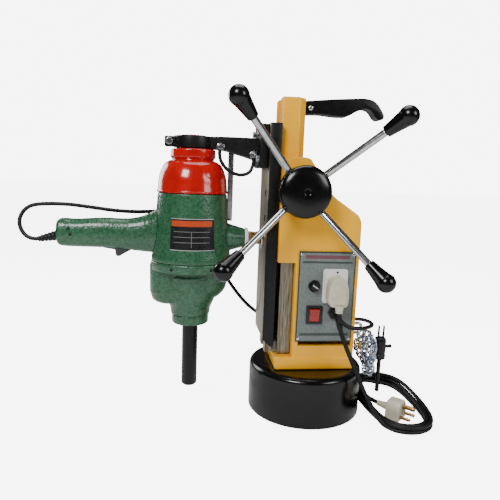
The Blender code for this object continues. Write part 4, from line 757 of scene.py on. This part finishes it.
for n, (here, after) in enumerate(zip(chainPath, chainPath[1:])):
    along = (after - here).normalized()
    half, reach = chain["half"], chain["length"] / 2 - chain["half"]
    loop = ([(half * math.cos(a), reach + half * math.sin(a)) for a in [math.pi * k / 6 for k in range(7)]]
            + [(half * math.cos(a), -reach + half * math.sin(a)) for a in [math.pi * (1 + k / 6) for k in range(7)]])
    matrix = aimed(here.lerp(after, 0.5), along) @ Matrix.Rotation(math.radians(45 + 90 * n), 4, "Z")
    links.append(sleeveWork([matrix @ Vector((a, 0, b)) for a, b in loop], [chain["wire"]] * len(loop), 6, True))
pieceFrom("safetyChain", merged(*links), "chainZinc", "stand", ["safety_chain"])

key = {"x": 0.1138, "y": -0.024, "bar": ((0.1040, -0.024, 0.1013), (0.1320, -0.024, 0.1035))}
pieceFrom("chuckKey", merged(
    turnedWork([(0, 0.0290), (0.0028, 0.0292), (0.0032, 0.0300), (0.0032, 0.0800), (0.0046, 0.0822), (0.0085, 0.0838),
                (0.0089, 0.0850), (0.0089, 0.0905), (0.0082, 0.0915), (0.0082, 0.0925), (0.0089, 0.0935),
                (0.0089, 0.1120), (0.0080, 0.1170), (0.0055, 0.1182), (0, 0.1184)], (key["x"], key["y"], 0),
               (0, 0, 1), 40, 0.0006),
    turnedWork([(0, 0), (0.0022, 0), (0.0030, 0.0008), (0.0030, 0.0030), (0.0026, 0.0036), (0.0026, 0.0245),
                (0.0030, 0.0251), (0.0030, 0.0273), (0.0022, 0.0281), (0, 0.0281)], key["bar"][0],
               Vector(key["bar"][1]) - Vector(key["bar"][0]), 24, 0.0005),
    *[rodWork((x, key["y"], 0.115), (x + 0.0004, key["y"], 0.1366), 0.0019, 0.0015, 16) for x in (0.1098, 0.1176)]),
    "darkSteel", "stand", ["chuck_key"])
print("chain and key made")

# ---- the arm that clamps the motor
arm = {"z": (0.371, 0.433), "motorX": -0.1824}
motorX = arm["motorX"]
armPiece = pieceFrom("drillArm", blockWork((-0.0888, -0.030, 0.371), (-0.0763, 0.030, 0.433), 0.0018, 3), "slideBlack",
                     "drill_slide", ["drill_arm"])
reach = slabWork([(-0.082, 0.4135), (-0.136, 0.4135), (-0.162, 0.4125), (-0.166, 0.4125), (-0.166, 0.396),
                  (-0.162, 0.396), (-0.136, 0.394, 0.010), (-0.082, 0.379)], "XZ", -0.014, 0.014, 0.003, 0.0018, 3)
clampRing = turnedWork([(0.0200, 0.4125, 0), (0.0280, 0.4125), (0.0280, 0.3960), (0.0200, 0.3960, 0)],
                       (motorX, 0, 0), steps=72, ring=True)
lug = blockWork((-0.2235, -0.010, 0.397), (-0.205, 0.010, 0.4115), 0.0015, 3)
carved(armPiece, [reach, clampRing, lug], "UNION")
carved(armPiece, [rodWork((motorX, 0, 0.39), (motorX, 0, 0.42), 0.0203, steps=64, rim=0),
                  blockWork((-0.23, -0.0015, 0.39), (-0.195, 0.0015, 0.42), 0),
                  rodWork((-0.2165, -0.02, 0.4042), (-0.2165, 0.02, 0.4042), 0.0029, rim=0)])
clampBolt = pieceFrom("clampBolt", merged(
    rodWork((-0.2165, -0.0150, 0.4042), (-0.2165, -0.0103, 0.4042), 0.0050, rim=0.0007),
    rodWork((-0.2165, -0.012, 0.4042), (-0.2165, 0.0150, 0.4042), 0.0026)), "brightSteel", "drill_slide",
    ["clamp_bolt"])
carved(clampBolt, [rodWork((-0.2165, -0.0170, 0.4042), (-0.2165, -0.0128, 0.4042), 0.0026, steps=6, rim=0)])
for n, z in enumerate((0.384, 0.421)):
    for m, y in enumerate((-0.0225, 0.0225)):
        cap = pieceFrom(f"armBolt{n * 2 + m + 1}", rodWork((-0.0870, y, z), (-0.0935, y, z), 0.0046, rim=0.0006),
                        "zincSteel", "drill_slide")
        carved(cap, [rodWork((-0.0910, y, z), (-0.0950, y, z), 0.0024, steps=6, rim=0)])
pieceFrom("braceBar", blockWork((-0.1300, 0.0143, 0.2900), (-0.1215, 0.0193, 0.4050), 0.0009, 3), "groundSteel",
          "drill_slide", ["brace_bar"])
lead = {"radius": 0.0026, "eyeY": -0.0190, "route": [
    (-0.1440, -0.0178, 0.3985), (-0.1452, -0.0178, 0.3890), (-0.1420, -0.0180, 0.3770), (-0.1310, -0.0182, 0.3650),
    (-0.1150, -0.0183, 0.3600), (-0.1020, -0.0182, 0.3640), (-0.0965, -0.0180, 0.3755), (-0.0960, -0.0178, 0.3890)]}
leadPath = routeThrough(lead["route"], 0.002)[0]
pieceFrom("armLead", sleeveWork(leadPath, [lead["radius"]] * len(leadPath), 16), "cordRubber", "drill_slide",
          ["arm_lead"])
for n, end in enumerate((leadPath[0], leadPath[-1])):
    pieceFrom(f"leadEyelet{n + 1}", merged(
        rodWork((end.x, -0.0143, end.z), (end.x, -0.0172, end.z), 0.0058, rim=0.0006),
        rodWork((end.x, -0.0165, end.z), (end.x, -0.0208, end.z), 0.0042, steps=6, rim=0.0006)), "brightSteel",
        "drill_slide")
pieceFrom("supportStud", merged(
    rodWork((-0.120, 0, 0.267), (-0.0718, 0, 0.267), 0.005, rim=0.0006),
    rodWork((-0.0796, 0, 0.267), (-0.0763, 0, 0.267), 0.016, steps=48, rim=0.0006)), "brightSteel", "drill_slide",
    ["support_stud"])
pieceFrom("supportSpacer", turnedWork([(0.0053, 0.0984, 0), (0.00975, 0.0984), (0.00975, 0.0920), (0.0090, 0.0905),
                                       (0.0090, 0.0870), (0.00975, 0.0855), (0.00975, 0.0799), (0.0053, 0.0799, 0)],
                                      (0, 0, 0.267), (-1, 0, 0), 48, ring=True), "brass", "drill_slide",
          ["support_spacer"])
pieceFrom("bossWasher", turnedWork([(0.0053, 0.1037, 0), (0.0150, 0.1037), (0.0150, 0.0987), (0.0053, 0.0987, 0)],
                                   (0, 0, 0.267), (-1, 0, 0), 64, ring=True), "whitePlastic", "drill_slide",
          ["boss_washer"])
print("arm made")

# ---- the drill: cap, motor housing, gear case, nose
pieceFrom("motorCap", turnedWork([
    (0, 0.4140), (0.0178, 0.4140), (0.0200, 0.4120), (0.0200, 0.3942, 0.0005), (0.0308, 0.3942, 0.002),
    (0.0326, 0.3925, 0.002), (0.0326, 0.3828, 0.002), (0.0312, 0.3808, 0.002), (0.0296, 0.3785, 0.002),
    (0.0350, 0.3768, 0.003), (0.0415, 0.3725, 0.004), (0.0464, 0.3630, 0.005), (0.0494, 0.3520, 0.004),
    (0.0508, 0.3345, 0.001), (0.0516, 0.3338, 0.0004), (0.0516, 0.3318, 0.0004), (0.0475, 0.3315, 0),
    (0.0462, 0.3460, 0), (0.0330, 0.3600, 0), (0.0153, 0.3600, 0), (0.0153, 0.3697, 0), (0, 0.3697)],
    (motorX, 0, 0), steps=96), "glossRed", "drill_slide", ["motor_cap"])

shellProfile = [(0.0505, 0.3310), (0.0509, 0.3240), (0.0523, 0.3050), (0.0541, 0.2760), (0.0549, 0.2750),
                (0.0551, 0.2725), (0.0549, 0.2715), (0.0563, 0.2520), (0.0582, 0.2400), (0.0586, 0.2385)]
housingPiece = pieceFrom("motorHousing", merged(
    turnedWork([(0, 0.3310)] + shellProfile + [(0.0586, 0.2326), (0, 0.2326)], (motorX, 0, 0), steps=96),
    rodWork((-0.150, 0, 0.267), (-0.1042, 0, 0.267), 0.0270, 0.0140, 48, 0.0012)), "hammeredGreen", "drill_slide",
    ["motor_housing"])
castOver(housingPiece, 0.0010, 4)
carved(housingPiece, [
    turnedWork([(0, 0.340), (0.0473, 0.340), (0.0473, 0.320), (0.0510, 0.265), (0.0545, 0.240), (0.0545, 0.225),
                (0, 0.225)], (motorX, 0, 0), steps=64, fillet=0),
    rodWork((-0.125, 0, 0.267), (-0.10, 0, 0.267), 0.0053, rim=0)])

shoulders = turnedWork([
    (0, 0.2250), (0.0572, 0.2250), (0.0562, 0.2050, 0.004), (0.0511, 0.1865, 0.006), (0.0410, 0.1765, 0.004),
    (0.0300, 0.1732), (0, 0.1732)], steps=96)
bmesh.ops.transform(shoulders, matrix=Matrix.Translation((motorX, 0, 0)) @ Matrix.Diagonal((1, 0.62, 1, 1)),
                    verts=shoulders.verts)
casePiece = pieceFrom("gearCase", merged(
    turnedWork([(0, 0.2322), (0.0584, 0.2322), (0.0593, 0.2300), (0.0592, 0.2280), (0.0586, 0.2195), (0.0385, 0.2180),
                (0.0385, 0.2115), (0.0400, 0.2105), (0.0400, 0.2075), (0.0380, 0.2065), (0.0376, 0.1850),
                (0.0362, 0.1740, 0.004), (0.0300, 0.1600, 0.004), (0.0292, 0.1508, 0.0006), (0, 0.1508)],
               (motorX, 0, 0), steps=96),
    shoulders,
    turnedWork([(0, 0.2260), (0.0312, 0.2260), (0.0308, 0.1850), (0.0270, 0.1720, 0.004), (0.0200, 0.1680), (0, 0.1680)],
               (motorX - 0.030, 0, 0), steps=64)),
    "hammeredGreen", "drill_slide", ["gear_case"])
castOver(casePiece, 0.0008, 4)
carved(casePiece, [rodWork((motorX, 0, 0.1790), (motorX, 0, 0.240), 0.0260, rim=0, steps=48),
                   rodWork((motorX - 0.030, 0, 0.1790), (motorX - 0.030, 0, 0.240), 0.0255, rim=0, steps=48),
                   rodWork((motorX, 0, 0.14), (motorX, 0, 0.19), 0.0193, rim=0, steps=48)])
pieceFrom("noseCollar", turnedWork([
    (0.0135, 0.1502, 0), (0.0270, 0.1502), (0.0277, 0.1492), (0.0276, 0.1380), (0.0258, 0.1360), (0.0135, 0.1360, 0)],
    (motorX, 0, 0), steps=72, ring=True), "hammeredGreen", "drill_slide", ["bearing_collar"])
softCopy("spindle", "blackSpindle", "spindle_body")
for node, finish, slot, body in (
        ("bearing_plate", "groundSteel", "steel", "drill_slide"), ("stator", "darkSteel", "dark_steel", "drill_slide"),
        ("upper_bearing", "brightSteel", "polished_steel", "drill_slide"),
        ("spindle_bearing", "brightSteel", "polished_steel", "drill_slide"),
        ("armature", "groundSteel", "steel", "armature_body"),
        ("intermediate_gear", "groundSteel", "steel", "layshaft")):
    softCopy(node, finish, body)
for n, (angle, z) in enumerate(((-118, 0.2255), (-62, 0.2255), (60, 0.2255), (120, 0.2255))):
    out = Vector((math.cos(math.radians(angle)), math.sin(math.radians(angle)), 0))
    screwHead(f"caseScrew{n + 1}", Vector((motorX, 0, z)) + out * 0.0586, out, 0.0026, "darkSteel", "drill_slide",
              0.5 * n, 0.0012)
print("motor and gear case made")

# ---- the rear handle, its trigger, screws and cord guard
handle = {"stations": [
    (-0.3742, 0.2560, 0.2850, 0.0120), (-0.3735, 0.2525, 0.2875, 0.0150), (-0.3700, 0.2500, 0.2895, 0.0170),
    (-0.3630, 0.2490, 0.2900, 0.0172), (-0.3540, 0.2487, 0.2892, 0.0168), (-0.3430, 0.2485, 0.2893, 0.0166),
    (-0.3300, 0.2483, 0.2905, 0.0166), (-0.3150, 0.2481, 0.2915, 0.0168), (-0.3000, 0.2476, 0.2917, 0.0168),
    (-0.2850, 0.2464, 0.2912, 0.0168), (-0.2730, 0.2450, 0.2915, 0.0170), (-0.2620, 0.2440, 0.2935, 0.0174),
    (-0.2520, 0.2430, 0.2965, 0.0182), (-0.2430, 0.2422, 0.3010, 0.0196), (-0.2350, 0.2416, 0.3060, 0.0216),
    (-0.2290, 0.2412, 0.3090, 0.0236), (-0.2200, 0.2410, 0.3095, 0.0250)]}
handlePiece = pieceFrom("rearHandle", loftWork(handle["stations"]), "hammeredGreen", "drill_slide",
                        ["rear_handle"])
castOver(handlePiece, 0.0010, 3)
carved(handlePiece, [
    turnedWork([(0, 0.345)] + [(r + 0.0004, h) for r, h in shellProfile] + [(0.0590, 0.220), (0, 0.220)],
               (motorX, 0, 0), steps=96, fillet=0),
    blockWork((-0.3125, -0.0072, 0.20), (-0.2675, 0.0072, 0.2680), 0)])
pieceFrom("drillTrigger", slabWork([
    (-0.311, 0.2620), (-0.311, 0.2482), (-0.2975, 0.2462), (-0.2930, 0.2455), (-0.2922, 0.2366), (-0.2876, 0.2354),
    (-0.2775, 0.2415), (-0.269, 0.2460), (-0.269, 0.2620)], "XZ", -0.0065, 0.0065, 0.002, 0.0014, 3),
    "greyPlastic", "trigger_body", ["trigger"])
for n, (x, z) in enumerate(((-0.3560, 0.2760), (-0.3535, 0.2680), (-0.2560, 0.2700))):
    screwHead(f"handleScrew{n + 1}", (x, -0.0166, z), (0, -1, 0), 0.0023, "darkSteel", "drill_slide",
              0.9 - n, 0.0010)
guardPath = routeThrough([(-0.3748, 0.000, 0.2643), (-0.3850, 0.000, 0.2620), (-0.4006, 0.000, 0.2585)], 0.0013)[0]
guardPiece = pieceFrom("cordGuard", sleeveWork(guardPath, [
    0.0075 - 0.0034 * i / (len(guardPath) - 1) + (0.0004 if i % 4 < 2 else -0.0003) for i in range(len(guardPath))],
    24), "cordRubber", "drill_slide", ["strain_relief"])
print("rear handle made")

# ---- the blank rating plate, curved to the housing
plate = {"from": -122, "to": -56}
work = bmesh.new()
radiusAt = lambda h: 0.0568 + (0.2545 - h) * 0.066
rise = [work.verts.new((radiusAt(h), 0, h)) for h in (0.2530, 0.2545, 0.2600, 0.2700, 0.2800, 0.2900, 0.2960, 0.2975)]
rungs = [work.edges.new(pair) for pair in zip(rise, rise[1:])]
bmesh.ops.rotate(work, verts=rise, cent=(0, 0, 0), matrix=Matrix.Rotation(math.radians(plate["from"]), 3, "Z"))
bmesh.ops.spin(work, geom=rise + rungs, cent=(0, 0, 0), axis=(0, 0, 1), dvec=(0, 0, 0),
               angle=math.radians(plate["to"] - plate["from"]), steps=30, use_merge=False, use_duplicate=False)
bmesh.ops.remove_doubles(work, verts=work.verts, dist=0.000004)
bmesh.ops.recalc_face_normals(work, faces=work.faces)
bmesh.ops.translate(work, verts=work.verts, vec=(motorX, 0, 0))
for face in list(work.faces):
    if face.normal.y > 0:
        face.normal_flip()
bmesh.ops.solidify(work, geom=work.faces, thickness=0.0011)
bmesh.ops.recalc_face_normals(work, faces=work.faces)
platePiece = pieceFrom("ratingPlate", work, "plateFace", "drill_slide", ["rating_plate"])
print("drill made")

# ---- floor and light
stageSettings = {"floorSize": 30.0, "world": 7.0, "ambient": 0.07}
work = bmesh.new()
bmesh.ops.create_grid(work, x_segments=8, y_segments=8, size=stageSettings["floorSize"] / 2)
bmesh.ops.translate(work, verts=work.verts, vec=(0, 0, -0.0004))
floorMesh = bpy.data.meshes.new("floor")
work.to_mesh(floorMesh)
work.free()
floorMesh.materials.append(finishes["paleFloor"])
floor = bpy.data.objects.new("floor", floorMesh)
bpy.context.scene.collection.objects.link(floor)

lights = {"key": ((-0.80, -1.15, 1.25), 0.5, 21), "fill": ((1.00, -1.00, 0.90), 0.6, 9),
          "over": ((-0.05, 0.20, 1.60), 1.0, 12), "rim": ((-0.85, 0.70, 0.60), 0.5, 6)}
for name, (place, size, watts) in lights.items():
    lamp = bpy.data.lights.new(name, "AREA")
    lamp.shape = "SQUARE"
    lamp.size = size
    lamp.energy = watts
    light = bpy.data.objects.new(name, lamp)
    bpy.context.scene.collection.objects.link(light)
    light.location = place
    light.rotation_euler = (Vector((-0.08, 0, 0.24)) - Vector(place)).to_track_quat("-Z", "Y").to_euler()

world = bpy.data.worlds.new("studio")
world.use_nodes = True
bpy.context.scene.world = world
tree = world.node_tree
background = tree.nodes["Background"]
rays = addNode(tree, "ShaderNodeLightPath", {})
level = addNode(tree, "ShaderNodeMapRange", {
    "Value": rays.outputs["Is Camera Ray"], "To Min": stageSettings["ambient"], "To Max": stageSettings["world"]})
background.inputs["Color"].default_value = (1, 1, 1, 1)
tree.links.new(level.outputs[0], background.inputs["Strength"])
print("stage set")
